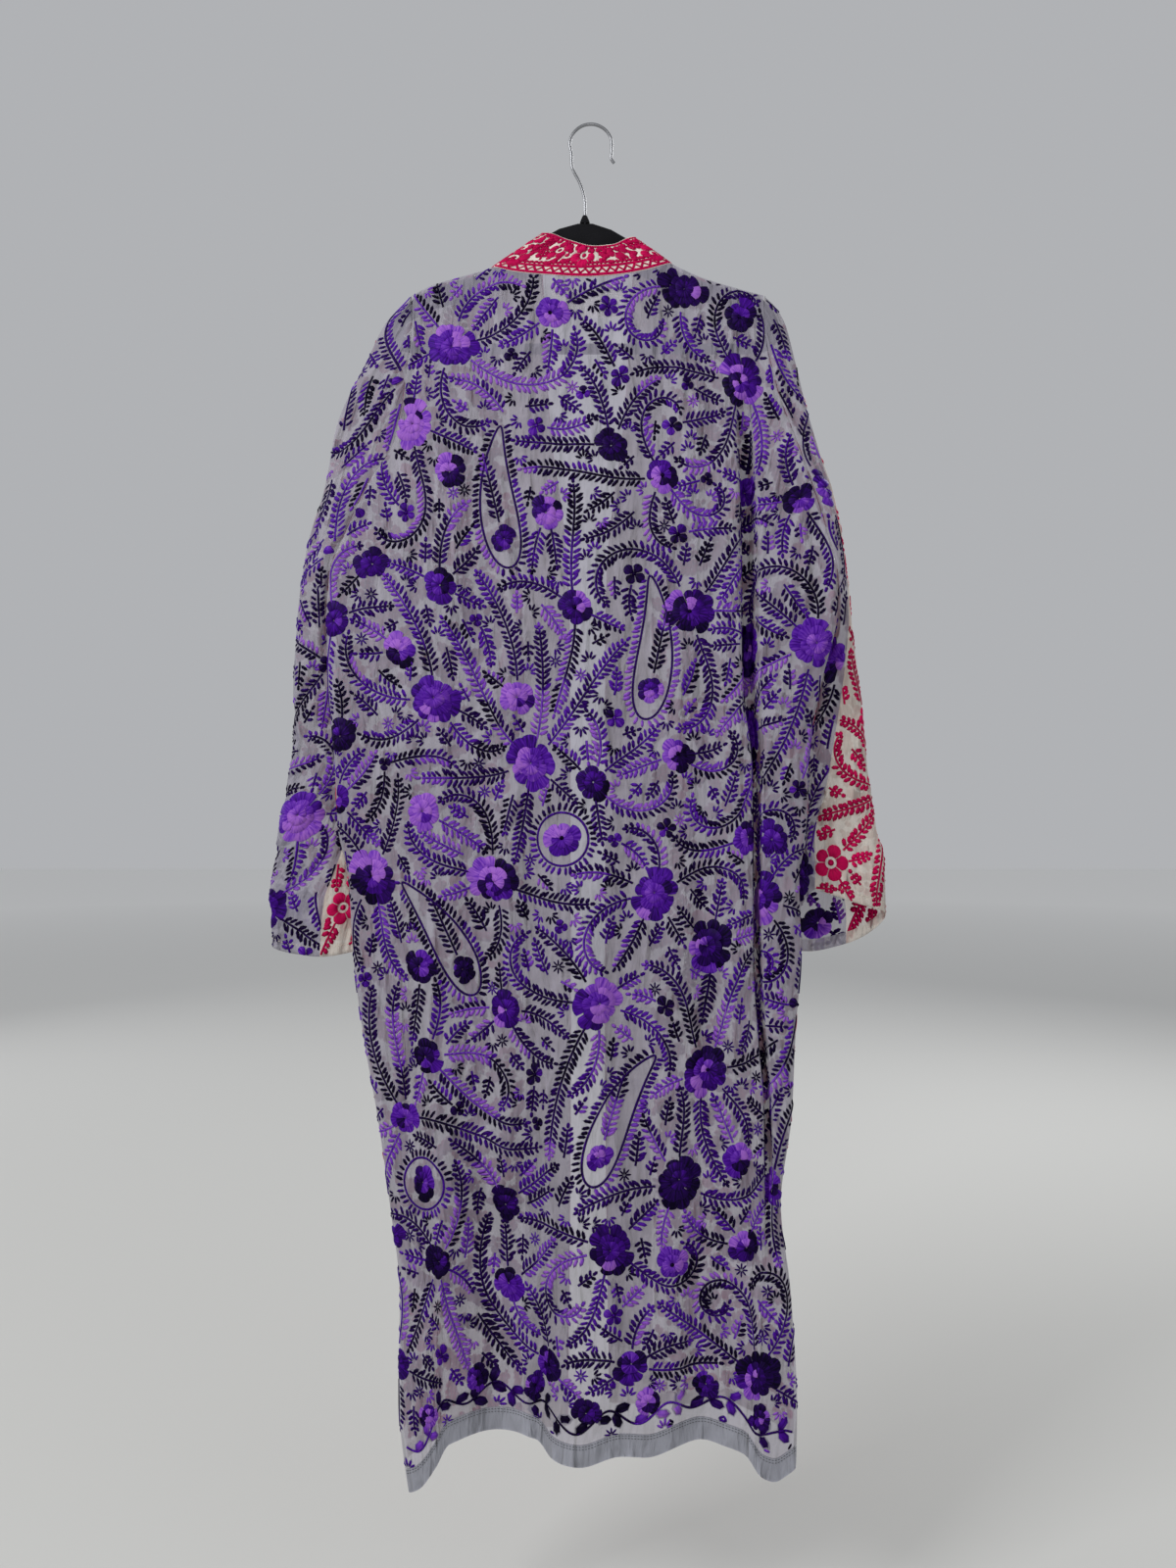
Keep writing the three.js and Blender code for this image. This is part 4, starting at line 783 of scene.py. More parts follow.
def chromed_wire():
    """Steel wire, bent cold and thinly chrome plated. Its mirror is a little dulled by handling"""
    tree, shader = new_material("chrome-plated wire", Metallic=1.0, Roughness=0.38)
    place = add_node(tree, "ShaderNodeTexCoord").outputs["Object"]
    # The dull patches that fingers leave are about 17 mm across
    marks = add_node(tree, "ShaderNodeTexNoise", {"Vector": place, "Scale": 60.0, "Detail": 2.0})
    tone = add_node(tree, "ShaderNodeValToRGB", {"Fac": marks.outputs["Fac"]}, stops=(
        (0.3, hex_linear("#7c7d80")), (0.7, hex_linear("#8f9093"))))
    tree.links.new(tone.outputs["Color"], shader.inputs["Base Color"])


def make_materials():
    """Every finish of the kimono and its hanger, from the colours in the settings"""
    cloth, embroidery = settings().cloth, settings().embroidery
    georgette("grey georgette", cloth.grey, cloth.cover)
    georgette("cream georgette", cloth.cream, cloth.cover)
    georgette("doubled grey georgette", cloth.hem, 0.95)
    georgette("doubled cream georgette", shaded(cloth.cream, 1.08), 0.95)
    embroidery_thread("violet space-dyed rayon", (
        (0.0, shaded(embroidery.violet, 0.04)), (0.28, shaded(embroidery.violet, 0.3)),
        (0.52, shaded(embroidery.violet, 1.0)), (0.76, hex_linear("#6430a2")),
        (1.0, hex_linear("#925cb8"))))
    embroidery_thread("crimson rayon", (
        (0.0, shaded(embroidery.crimson, 0.5)), (0.5, shaded(embroidery.crimson, 1.0)),
        (1.0, shaded(embroidery.crimson, 1.7))))
    sewing_thread("dark grey polyester", hex_linear("#3c3e46"))
    sewing_thread("cream polyester", hex_linear("#cfc2b2"))
    satin_tape()
    flocked_velvet()
    chromed_wire()


# Meshes
def add_piece(name, mesh, material, node=None):
    """A finished mesh as a smooth piece of the garment, in place of a CAD node where it has one"""
    mesh.name = name
    mesh.polygons.foreach_set("use_smooth", [True] * len(mesh.polygons))
    if not mesh.materials:
        mesh.materials.append(bpy.data.materials[material])
    piece = bpy.data.objects.new(name, mesh)
    bpy.context.scene.collection.objects.link(piece)
    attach(piece, ROOT)
    if node:
        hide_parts(node)
    return piece


def new_mesh(points, faces, flat, shade=None):
    """A mesh of points in mm, with its places on the flat piece as a UV map in metres"""
    mesh = bpy.data.meshes.new("piece")
    mesh.from_pydata((np.asarray(points) * MM).tolist(), [], [tuple(map(int, f)) for f in faces])
    corners = np.empty(len(mesh.loops), dtype=int)
    mesh.loops.foreach_get("vertex_index", corners)
    mesh.uv_layers.new(name="UVMap").data.foreach_set("uv", (np.asarray(flat) * MM)[corners].ravel())
    if shade is not None:
        mesh.attributes.new("shade", "FLOAT", "POINT").data.foreach_set("value", list(shade))
    return mesh


def add_cloth(node, grid, flat, material):
    """One piece of cloth from a grid of points, which goes on past the flat piece where it turns under"""
    rows, columns = grid.shape[:2]
    if len(flat) < rows:
        below = flat[-1:] - np.arange(rows - len(flat))[:, None, None] * (0, ROW_STEP)
        flat = joined(flat, below)
    r, c = np.meshgrid(np.arange(rows - 1), np.arange(columns - 1), indexing="ij")
    first = (r * columns + c).ravel()
    faces = np.stack([first, first + columns, first + columns + 1, first + 1], axis=1)
    mesh = new_mesh(grid.reshape(-1, 3), faces, flat.reshape(-1, 2))
    return add_piece(f"{node}_cloth", mesh, material, node)


# Geometry Nodes
def new_tree(name, **sizes):
    """An empty tree with named inputs, a material where a size is None. Gives its inputs and a way
    to end it"""
    tree = bpy.data.node_groups.new(name, "GeometryNodeTree")
    tree.interface.new_socket("Geometry", in_out="INPUT", socket_type="NodeSocketGeometry")
    for key, value in sizes.items():
        kind = "NodeSocketMaterial" if value is None else "NodeSocketFloat"
        socket = tree.interface.new_socket(key.replace("_", " "), in_out="INPUT", socket_type=kind)
        if value is not None:
            socket.default_value = value
    tree.interface.new_socket("Geometry", in_out="OUTPUT", socket_type="NodeSocketGeometry")
    return tree, add_node(tree, "NodeGroupInput").outputs


def end_tree(tree, shape, material):
    finished = add_node(tree, "GeometryNodeSetMaterial", {"Geometry": shape, "Material": material})
    add_node(tree, "NodeGroupOutput", {"Geometry": finished.outputs["Geometry"]})
    return tree


def line_stitch_tree():
    """Machine stitches: short rounded rods end to end along lines, a pitch apart"""
    sewing = settings().sewing
    tree, size = new_tree("machine stitches", Stitch_length=sewing.stitch_length,
                          Stitch_pitch=sewing.stitch_pitch, Thread=sewing.thread, Material=None)
    lines = add_node(tree, "GeometryNodeMeshToCurve", {"Mesh": size["Geometry"]})
    places = add_node(tree, "GeometryNodeCurveToPoints", {
        "Curve": lines.outputs["Curve"], "Length": size["Stitch pitch"]}, mode="LENGTH")
    rod = add_node(tree, "GeometryNodeMeshUVSphere", {"Segments": 6, "Rings": 4, "Radius": 0.5})
    scale = add_node(tree, "ShaderNodeCombineXYZ", {
        "X": size["Thread"], "Y": size["Thread"], "Z": size["Stitch length"]})
    laid = add_node(tree, "GeometryNodeInstanceOnPoints", {
        "Points": places.outputs["Points"], "Instance": rod.outputs["Mesh"],
        "Rotation": places.outputs["Rotation"], "Scale": scale.outputs["Vector"]})
    real = add_node(tree, "GeometryNodeRealizeInstances", {"Geometry": laid.outputs["Instances"]})
    return end_tree(tree, real.outputs["Geometry"], size["Material"])


def vine_tree():
    """Vines, set out flat: a raised line of stem stitch, and a padded leaf stitch on each leaf point.
    A leaf point holds its heading, its length and width as shares of the usual, and its shade"""
    work = settings().embroidery
    tree, size = new_tree("vine stitches", Leaf_length=work.leaf_length, Leaf_width=work.leaf_width,
                          Leaf_rise=work.leaf_rise, Stem_width=work.stem_width, Material=None)
    lines = add_node(tree, "GeometryNodeMeshToCurve", {"Mesh": size["Geometry"]})
    level = add_node(tree, "GeometryNodeSetCurveNormal", {"Curve": lines.outputs["Curve"]}, mode="Z_UP")
    half = add_node(tree, "ShaderNodeMath", {0: size["Stem width"], 1: 0.5}, operation="MULTIPLY")
    ridge = add_node(tree, "GeometryNodeCurvePrimitiveCircle", {
        "Resolution": 3, "Radius": half.outputs[0]})
    upright = add_node(tree, "GeometryNodeTransform", {
        "Geometry": ridge.outputs["Curve"], "Rotation": (0, 0, -math.pi / 2), "Scale": (0.5, 1.15, 1)})
    stems = add_node(tree, "GeometryNodeCurveToMesh", {
        "Curve": level.outputs["Curve"], "Profile Curve": upright.outputs["Geometry"]})
    place = add_node(tree, "GeometryNodeInputPosition").outputs["Position"]
    stem_map = add_node(tree, "GeometryNodeStoreNamedAttribute", {
        "Geometry": stems.outputs["Mesh"], "Name": "UVMap", "Value": place},
        data_type="FLOAT2", domain="CORNER")

    stitch = add_node(tree, "GeometryNodeMeshCone", {
        "Vertices": 6, "Radius Top": 0.0, "Radius Bottom": 0.5, "Depth": 1.0}, fill_type="NGON")
    rooted = add_node(tree, "GeometryNodeTransform", {
        "Geometry": stitch.outputs["Mesh"], "Translation": (0.5, 0, -0.15)})
    # Strands run along the leaf, so its length goes up the map
    across = add_node(tree, "ShaderNodeSeparateXYZ", {"Vector": place})
    wide = add_node(tree, "ShaderNodeMath", {0: across.outputs["Y"], 1: size["Leaf width"]},
                    operation="MULTIPLY")
    long = add_node(tree, "ShaderNodeMath", {0: across.outputs["X"], 1: size["Leaf length"]},
                    operation="MULTIPLY")
    strands = add_node(tree, "ShaderNodeCombineXYZ", {"X": wide.outputs[0], "Y": long.outputs[0]})
    mapped = add_node(tree, "GeometryNodeStoreNamedAttribute", {
        "Geometry": rooted.outputs["Geometry"], "Name": "UVMap", "Value": strands.outputs["Vector"]},
        data_type="FLOAT2", domain="CORNER")
    heading, length, width = (
        add_node(tree, "GeometryNodeInputNamedAttribute", {"Name": name}).outputs["Attribute"]
        for name in ("heading", "length", "width"))
    euler = add_node(tree, "ShaderNodeCombineXYZ", {"Z": heading})
    turned = add_node(tree, "FunctionNodeEulerToRotation", {"Euler": euler.outputs["Vector"]})
    leaf_length = add_node(tree, "ShaderNodeMath", {0: length, 1: size["Leaf length"]},
                           operation="MULTIPLY")
    leaf_width = add_node(tree, "ShaderNodeMath", {0: width, 1: size["Leaf width"]},
                          operation="MULTIPLY")
    scale = add_node(tree, "ShaderNodeCombineXYZ", {
        "X": leaf_length.outputs[0], "Y": leaf_width.outputs[0], "Z": size["Leaf rise"]})
    is_leaf = add_node(tree, "FunctionNodeCompare", {0: length, 1: 0.0}, operation="GREATER_THAN")
    leaves = add_node(tree, "GeometryNodeInstanceOnPoints", {
        "Points": size["Geometry"], "Selection": is_leaf.outputs["Result"],
        "Instance": mapped.outputs["Geometry"], "Rotation": turned.outputs["Rotation"],
        "Scale": scale.outputs["Vector"]})
    both = add_node(tree, "GeometryNodeJoinGeometry", {"Geometry": stem_map.outputs["Geometry"]})
    tree.links.new(leaves.outputs["Instances"], both.inputs["Geometry"])
    real = add_node(tree, "GeometryNodeRealizeInstances", {"Geometry": both.outputs["Geometry"]})
    return end_tree(tree, real.outputs["Geometry"], size["Material"])


def wire_tree():
    """A round wire along a line, closed at its ends"""
    tree, size = new_tree("bent wire", Wire=settings().hanger.wire, Material=None)
    lines = add_node(tree, "GeometryNodeMeshToCurve", {"Mesh": size["Geometry"]})
    half = add_node(tree, "ShaderNodeMath", {0: size["Wire"], 1: 0.5}, operation="MULTIPLY")
    section = add_node(tree, "GeometryNodeCurvePrimitiveCircle", {
        "Resolution": 20, "Radius": half.outputs[0]})
    wire = add_node(tree, "GeometryNodeCurveToMesh", {
        "Curve": lines.outputs["Curve"], "Profile Curve": section.outputs["Curve"], "Fill Caps": True})
    real = add_node(tree, "GeometryNodeRealizeInstances", {"Geometry": wire.outputs["Mesh"]})
    return end_tree(tree, real.outputs["Geometry"], size["Material"])


def grow_mesh(tree, lines, material, loose=(), **attributes):
    """What a tree makes of lines and loose points given in mm, as a plain mesh"""
    points = [tuple(p) for line in lines for p in line] + [tuple(p) for p in loose]
    edges, start = [], 0
    for line in lines:
        edges += [(start + i, start + i + 1) for i in range(len(line) - 1)]
        start += len(line)
    mesh = bpy.data.meshes.new("lines")
    mesh.from_pydata((np.array(points) * MM).tolist(), edges, [])
    for key, values in attributes.items():
        mesh.attributes.new(key, "FLOAT", "POINT").data.foreach_set("value", list(values))
    carrier = bpy.data.objects.new("lines", mesh)
    bpy.context.scene.collection.objects.link(carrier)
    modifier = carrier.modifiers.new("lines", "NODES")
    modifier.node_group = tree
    for item in tree.interface.items_tree:
        if item.in_out == "INPUT" and item.name == "Material":
            modifier[item.identifier] = bpy.data.materials[material]
    evaluated = carrier.evaluated_get(bpy.context.evaluated_depsgraph_get())
    result = bpy.data.meshes.new_from_object(evaluated)
    bpy.data.objects.remove(carrier)
    bpy.data.meshes.remove(mesh)
    return result


def add_stitch_lines(name, lines, material):
    """Machine stitches along lines of points in mm"""
    mesh = grow_mesh(tree_named("machine stitches"), lines, material)
    return add_piece(name, mesh, material)


def tree_named(name):
    makers = {"machine stitches": line_stitch_tree, "vine stitches": vine_tree, "bent wire": wire_tree}
    return bpy.data.node_groups.get(name) or makers[name]()


# Hand embroidery, set out on the flat piece and then seated on the hung cloth
STEP = 3.0  # length of one step of a vine, in mm
UNDERSIDE = -0.3  # how far the stitches reach through to the cloth's inside, in mm
STEM_HEIGHT = 0.1  # height of a stem's middle above the cloth
DYE_RUN = (22, 60)  # shortest and longest run of one shade of thread, in mm
DYE_CHANGE = 8  # length over which one shade goes over into the next
FIRST_LEAF = 3.5  # distance of the first leaves from the start of a line
PETAL_COLUMNS = 6
# The tone of each ring is painted shade and highlight: a petal is darker at its inner end and at its rim,
# where it dips into the cloth, and lighter near its raised outer edge
PETAL_RINGS = (  # how far out each ring of a petal lies, its rise, both as shares, and its tone
    (1.0, UNDERSIDE, 0), (0.0, UNDERSIDE, 0), (0.0, 0.35, -0.06), (0.45, 1.0, 0), (0.92, 0.7, 0.04),
    (1.0, UNDERSIDE, -0.04),
)


class Embroidery:
    """The stitches of one piece of cloth: leaf points and stems for the vine tree, and petals"""

    dyes = (0.5,)  # shades that the thread drifts between
    leaf = (1.0, 1.0)  # length and width of a leaf stitch, as shares of the usual
    pitch = 5.9  # distance from one pair of leaves to the next, in mm
    gap = 14.0  # room kept free on each side of a vine
    flower_sizes = ((15, 1.0),)  # radii of its flowers, and the share of each
    flower_room = 21  # least room between two flowers, in mm
    flower_ground = 7600  # cloth for each flower, in square mm
    from_flower = (60, 170, 27)  # a vine out of a flower: least and most that it aims for, least kept
    between = (60, 190, 18)  # and a vine between the others

    def __init__(self, panel, seed):
        self.panel = panel
        self.rng = np.random.default_rng(seed)
        self.ground = Ground(panel)
        self.stems, self.stem_shades, self.leaf_points = [], [], []
        self.places, self.heights, self.shades, self.strands, self.faces = [], [], [], [], []
        self.count = 0

    def add_leaf(self, x, y, heading, shade, length=1.0, width=1.0):
        self.leaf_points.append((x, y, heading, length * self.leaf[0], width * self.leaf[1], shade))

    def add_stem(self, line, shades):
        self.stems.append(line)
        self.stem_shades.append(np.broadcast_to(shades, len(line)))

    def add_patch(self, places, heights, shade, strands, faces):
        if self.panel.seat(places, heights)[1].all():
            self.places.append(places)
            self.heights.append(heights)
            self.shades.append(np.broadcast_to(shade, len(places)))
            self.strands.append(strands)
            self.faces.extend(tuple(i + self.count for i in face) for face in faces)
            self.count += len(places)

    def add_petal(self, x, y, heading, inner, outer, half, shade, notch=0.15, base=0.0, rise=0.9):
        """A fan of satin stitch with a rounded outer edge, lower at its corners by the notch"""
        columns = PETAL_COLUMNS + 1
        turn = np.linspace(-half, half, columns)
        scallop = 1 - notch * np.abs(turn / half) ** 2.4
        places, heights, shades, strands = [], [], [], []
        for part, lift, tone in PETAL_RINGS:
            radius = inner + (outer * scallop - inner) * part
            places.append(np.stack([x + radius * np.cos(heading + turn),
                                    y + radius * np.sin(heading + turn)], axis=1))
            heights.append(np.full(columns, lift if lift < 0 else base + rise * lift))
            # Each ring's painted shading is added to the thread's shade
            shades.append(np.full(columns, shade + tone))
            strands.append(np.stack([turn * outer * 0.8 + self.count * 0.37, radius], axis=1))
        corners = [r * columns + c for r in range(len(PETAL_RINGS) - 1) for c in range(PETAL_COLUMNS)]
        faces = [(a + columns, a + columns + 1, a + 1, a) for a in corners]
        self.add_patch(joined(*places), joined(*heights), joined(*shades), joined(*strands), faces)

    def add_berry(self, x, y, radius, shade, base=0.0):
        """A padded dot with eight sides"""
        turn = np.linspace(0, 2 * math.pi, 9)[:-1]
        places = np.stack([x + radius * joined([0], np.cos(turn)),
                           y + radius * joined([0], np.sin(turn))], axis=1)
        heights = joined([base + 1.0], np.full(8, UNDERSIDE + base))
        faces = [(0, 1 + i, 1 + (i + 1) % 8) for i in range(8)] + [tuple(range(8, 0, -1))]
        self.add_patch(places, heights, shade, places + self.count * 0.37, faces)

    def drift(self, length):
        """Shades of space-dyed thread along a length: even runs with short changes between them"""
        at, shades = [0.0], [self.rng.choice(self.dyes)]
        while at[-1] < length:
            run = self.rng.uniform(*DYE_RUN)
            at += [at[-1] + run, at[-1] + run + DYE_CHANGE]
            shades += [shades[-1], self.rng.choice(self.dyes)]
        return lambda distance: np.interp(distance, at, shades)

    def sectors(self, dyes, count):
        """Shades that change at a few places round a flower"""
        edges = np.sort(self.rng.uniform(0, 2 * math.pi, count))
        shades = self.rng.choice(dyes, count)
        return lambda heading: shades[np.searchsorted(edges, heading % (2 * math.pi)) % count]

    def add_leaves(self, line, shade_at, other_shade_at=None, pitch=None, both=True, spread=0.9):
        """Pairs of leaf stitches along a line, smaller towards its tip, or a row on its left"""
        line = np.asarray(line)
        along = joined([0], np.cumsum(np.linalg.norm(np.diff(line, axis=0), axis=1)))
        rng = self.rng
        heading = 0.0
        for distance in np.arange(FIRST_LEAF, along[-1], pitch or self.pitch):
            x, y = (np.interp(distance, along, line[:, k]) for k in (0, 1))
            ahead = [np.interp(distance + 2, along, line[:, k]) for k in (0, 1)]
            behind = [np.interp(distance - 2, along, line[:, k]) for k in (0, 1)]
            heading = math.atan2(ahead[1] - behind[1], ahead[0] - behind[0])
            taper = min(1, 0.55 + (along[-1] - distance) / 50) if both else 0.92
            for side in (1, -1) if both else (1,):
                turn = side * (spread + rng.uniform(-0.16, 0.16))
                shade = (shade_at if side > 0 or not other_shade_at else other_shade_at)(distance)
                self.add_leaf(x + 0.5 * math.cos(heading + turn), y + 0.5 * math.sin(heading + turn),
                              heading + turn, shade + rng.uniform(-0.04, 0.04),
                              taper * rng.uniform(0.85, 1.12), rng.uniform(0.85, 1.15))
        if both:
            self.add_leaf(line[-1][0], line[-1][1], heading, shade_at(along[-1]), 0.65)

    def add_vine(self, line):
        shade_at = self.drift(len(line) * STEP)
        other = self.drift(len(line) * STEP) if self.rng.random() < 0.5 else None
        self.add_stem(line, np.array([shade_at(i * STEP) * 0.8 for i in range(len(line))]))
        self.add_leaves(line, shade_at, other)

    def add_flower(self, x, y, radius):
        raise NotImplementedError

    def add_sprig(self, x, y):
        raise NotImplementedError

    def fill(self, placed=()):
        """Flowers spaced over the piece, vines out of them, vines between them, sprigs in the rest"""
        rng, ground = self.rng, self.ground
        centres = list(placed)
        for flower in placed:
            self.add_flower(*flower)
        radii, shares = zip(*self.flower_sizes)
        sizes = rng.choice(radii, p=shares, size=max(1, int(ground.area / self.flower_ground)))
        for radius in sorted(sizes, reverse=True):
            for x, y in ground.free_places(rng, 60):
                room = [math.hypot(x - a, y - b) - r - radius for a, b, r in centres]
                if min(room, default=99) > self.flower_room:
                    self.add_flower(x, y, radius)
                    centres.append((x, y, radius))
                    break
        for number, (x, y, radius) in enumerate(centres, start=1):
            ground.take(x, y, radius + self.gap * 0.35, owner=number)

        def keep(line, start_room):
            self.add_vine(line)
            for step, (x, y) in enumerate(line):
                ground.take(x, y, min(self.gap, start_room + step * STEP * 0.45))

        least, most, shortest = self.from_flower
        for number, (x, y, radius) in enumerate(centres, start=1):
            count = 6 if radius > 16 else 4
            start = rng.uniform(0, 2 * math.pi)
            for i in range(count):
                best = []
                for _ in range(7):
                    heading = start + 2 * math.pi * i / count + rng.uniform(-0.3, 0.3)
                    line = ground.grow(rng, x + radius * math.cos(heading), y + radius * math.sin(heading),
                                       heading, rng.uniform(least, most), owner=number)
                    best = max(best, line, key=len)
                if len(best) * STEP >= shortest:
                    keep(best, self.gap * 0.5)
        least, most, shortest = self.between
        missed = 0
        while missed < 400:
            start = ground.free_places(rng, 1)
            if not start:
                break
            best = []
            for _ in range(9):
                heading = rng.choice((-1, 1)) * math.pi / 2 + rng.normal(0, 0.6)
                line = ground.grow(rng, *start[0], heading, rng.uniform(least, most))
                best = max(best, line, key=len)
            if len(best) * STEP >= shortest:
                keep(best, self.gap)
            else:
                missed += 1
        for _ in range(400):
            start = ground.free_places(rng, 1)
            if not start:
                break
            self.add_sprig(*start[0])
            ground.take(*start[0], self.gap * 0.85)

    def finish(self, name, material, slot):
        """The vines and the flowers as two pieces, seated on the hung cloth"""
        leaves = np.array(self.leaf_points)
        tips = leaves[:, :2] + np.stack([np.cos(leaves[:, 2]), np.sin(leaves[:, 2])], axis=1) * (
            leaves[:, 3:4] * settings().embroidery.leaf_length / MM)
        level = np.zeros(len(leaves))
        ends_on_piece = [self.panel.seat(ends, level)[1] for ends in (leaves[:, :2], tips)]
        leaves = leaves[np.logical_and(*ends_on_piece)]
        level = np.zeros((len(leaves), 1))
        lines = [[(x, y, STEM_HEIGHT) for x, y in line] for line in self.stems]
        bare = np.zeros(sum(len(line) for line in lines))
        mesh = grow_mesh(
            tree_named("vine stitches"), lines, material, loose=np.hstack([leaves[:, :2], level]),
            heading=joined(bare, leaves[:, 2]), length=joined(bare, leaves[:, 3]),
            width=joined(bare, leaves[:, 4]), shade=joined(*self.stem_shades, leaves[:, 5]))
        flat = np.empty(len(mesh.vertices) * 3)
        mesh.vertices.foreach_get("co", flat)
        flat = flat.reshape(-1, 3) / MM
        points = self.panel.seat(flat[:, :2], flat[:, 2])[0]
        mesh.vertices.foreach_set("co", (points * MM).ravel())
        mesh.update()
        pieces = [add_piece(f"{name}_vines", mesh, material)]
        if self.places:
            places, heights = joined(*self.places), joined(*self.heights)
            points = self.panel.seat(places, heights)[0]
            shades = np.clip(joined(*self.shades), 0, 1)
            flowers = new_mesh(points, self.faces, joined(*self.strands), shades)
            pieces.append(add_piece(f"{name}_flowers", flowers, material))
        return pieces


class VioletWork(Embroidery):
    """Dense fern vines, ruffled flowers, teardrops of vine, and rings of leaves"""

    dyes = (0.03, 0.1, 0.18, 0.26, 0.34, 0.42, 0.5, 0.6, 0.8, 0.92)
    flower_sizes = ((27, 0.28), (18.5, 0.36), (12, 0.24), (8.5, 0.12))
    # Layers of petals: how many, inner and outer radius as shares of the flower's, and height
    large = ((10, 0.4, 1.0, 0.0), (7, 0.18, 0.7, 0.7), (5, 0.03, 0.42, 1.3))
    medium = ((7, 0.3, 1.0, 0.0), (5, 0.05, 0.62, 0.7))

    def add_flower(self, x, y, radius):
        rng = self.rng
        spin = rng.uniform(0, 2 * math.pi)
        if radius < 13:
            count = 3 if radius < 10 else int(rng.choice((4, 5)))
            shade_of = self.sectors((0.05, 0.1, 0.36, 0.52), 2)
            for i in range(count):
                heading = spin + 2 * math.pi * i / count
                outer = radius * rng.uniform(0.85, 1.1)
                self.add_petal(x, y, heading, 1.5, outer, math.pi / count * 0.88, shade_of(heading),
                               notch=0.28, rise=1.1)
            self.add_berry(x, y, 2.2, shade_of(spin), base=0.7)
            return
        shade_of = self.sectors((0.02, 0.08, 0.28, 0.42, 0.55, 0.85), 4)
        layers = self.medium if radius < 22 else self.large
        for order, (count, inner, outer, base) in enumerate(layers):
            for i in range(count):
                heading = spin + order * 0.4 + 2 * math.pi * i / count + rng.uniform(-0.12, 0.12)
                long = 1 + 0.13 * math.cos(2 * (heading - spin)) + rng.uniform(-0.1, 0.1)
                shade = shade_of(heading + order * 0.8) + 0.1 * order + rng.uniform(-0.06, 0.06)
                self.add_petal(x, y, heading, radius * inner, radius * outer * long,
                               math.pi / count * 1.12, shade, notch=rng.uniform(0.06, 0.2), base=base)
            x, y = x + rng.normal(0, 0.06) * radius, y + rng.normal(0, 0.06) * radius
        if rng.random() < 0.3:
            self.add_berry(x, y, radius * 0.12, 0.05, base=1.7)

    def add_sprig(self, x, y):
        """A small star of eight stitches, or a fan of five"""
        rng = self.rng
        shade = rng.choice(self.dyes)
        if rng.random() < 0.12:
            for i in range(8):
                self.add_leaf(x, y, i * math.pi / 4, shade, 0.7, 0.55)
            return
        heading = rng.uniform(0, 2 * math.pi)
        for turn in (-1.2, -0.6, 0, 0.6, 1.2):
            self.add_leaf(x + 1.5 * math.cos(heading + turn), y + 1.5 * math.sin(heading + turn),
                          heading + turn, shade, 0.95 - 0.2 * abs(turn), 0.75)

    def add_ring(self, x, y, radius):
        """A flower in a circle of leaf stitches"""
        turn = np.linspace(0, -2 * math.pi, 40)
        line = np.stack([x + radius * np.cos(turn), y + radius * np.sin(turn)], axis=1)
        self.add_stem(line, 0.4)
        self.add_leaves(line, self.drift(2 * math.pi * radius), pitch=5.2, both=False, spread=1.35)
        self.add_flower(x, y, radius - 9)
        self.ground.take(x, y, radius + 13)

    def add_teardrop(self, x, y, length, lean, side):
        """A curled teardrop of vine with outward leaves, holding a flower and a sprig"""
        turn = np.linspace(0, 2 * math.pi, 74)
        bend = (1 - np.cos(turn)) / 2
        u = length * 0.18 * np.sin(turn) * (1 - 0.62 * bend) + side * length * 0.17 * bend**3
        v = length * (bend - 0.5)
        cosine, sine = math.cos(lean), math.sin(lean)
        line = np.stack([x + u * cosine - v * sine, y + u * sine + v * cosine], axis=1)
        self.add_stem(line, 0.25)
        self.add_leaves(line, self.drift(length * 2.6), pitch=5.4, both=False, spread=-1.15)
        belly = (x + length * 0.29 * sine, y - length * 0.29 * cosine)
        self.add_flower(*belly, 14)
        self.ground.take(*belly, 18)
        spine = [(x - s * length * sine, y + s * length * cosine)
                 for s in np.linspace(-0.17, 0.3, int(length * 0.47 / STEP))]
        self.add_vine(spine)
        for a, b in [*spine, *line]:
            self.ground.take(a, b, 13)


class CrimsonWork(Embroidery):
    """Sparser fern vines, five-petalled flowers with pale rings, and berries"""

    dyes = (0.3, 0.4, 0.5, 0.6, 0.7)
    leaf = (0.92, 1.3)
    gap = 17.0
    flower_sizes = ((20, 0.5), (13, 0.5))
    flower_room = 26
    flower_ground = 8500

    def add_flower(self, x, y, radius):
        rng = self.rng
        spin = rng.uniform(0, 2 * math.pi)
        shade = rng.uniform(0.4, 0.6)
        for i in range(5):
            outer = radius * rng.uniform(0.93, 1.06)
            self.add_petal(x, y, spin + 2 * math.pi * i / 5, radius * 0.33, outer, math.pi / 5 * 0.93,
                           shade + rng.uniform(-0.06, 0.08), notch=0.26, rise=1.1)
        self.add_berry(x, y, radius * 0.2, shade, base=0.2)

    def add_sprig(self, x, y):
        heading = self.rng.uniform(0, 2 * math.pi)
        for turn in (-0.7, 0, 0.7):
            self.add_leaf(x, y, heading + turn, 0.5, 0.8, 1.1)
        self.add_berry(x - 4 * math.cos(heading), y - 4 * math.sin(heading), 3.4, 0.55)


class CollarWork(CrimsonWork):
    """Crimson leaves and flowers close together, above a border of two lines and a zigzag"""

    leaf = (0.78, 1.6)
    pitch = 4.8
    gap = 6.5
    flower_sizes = ((14, 0.5), (9.5, 0.5))
    flower_room = 4
    flower_ground = 900


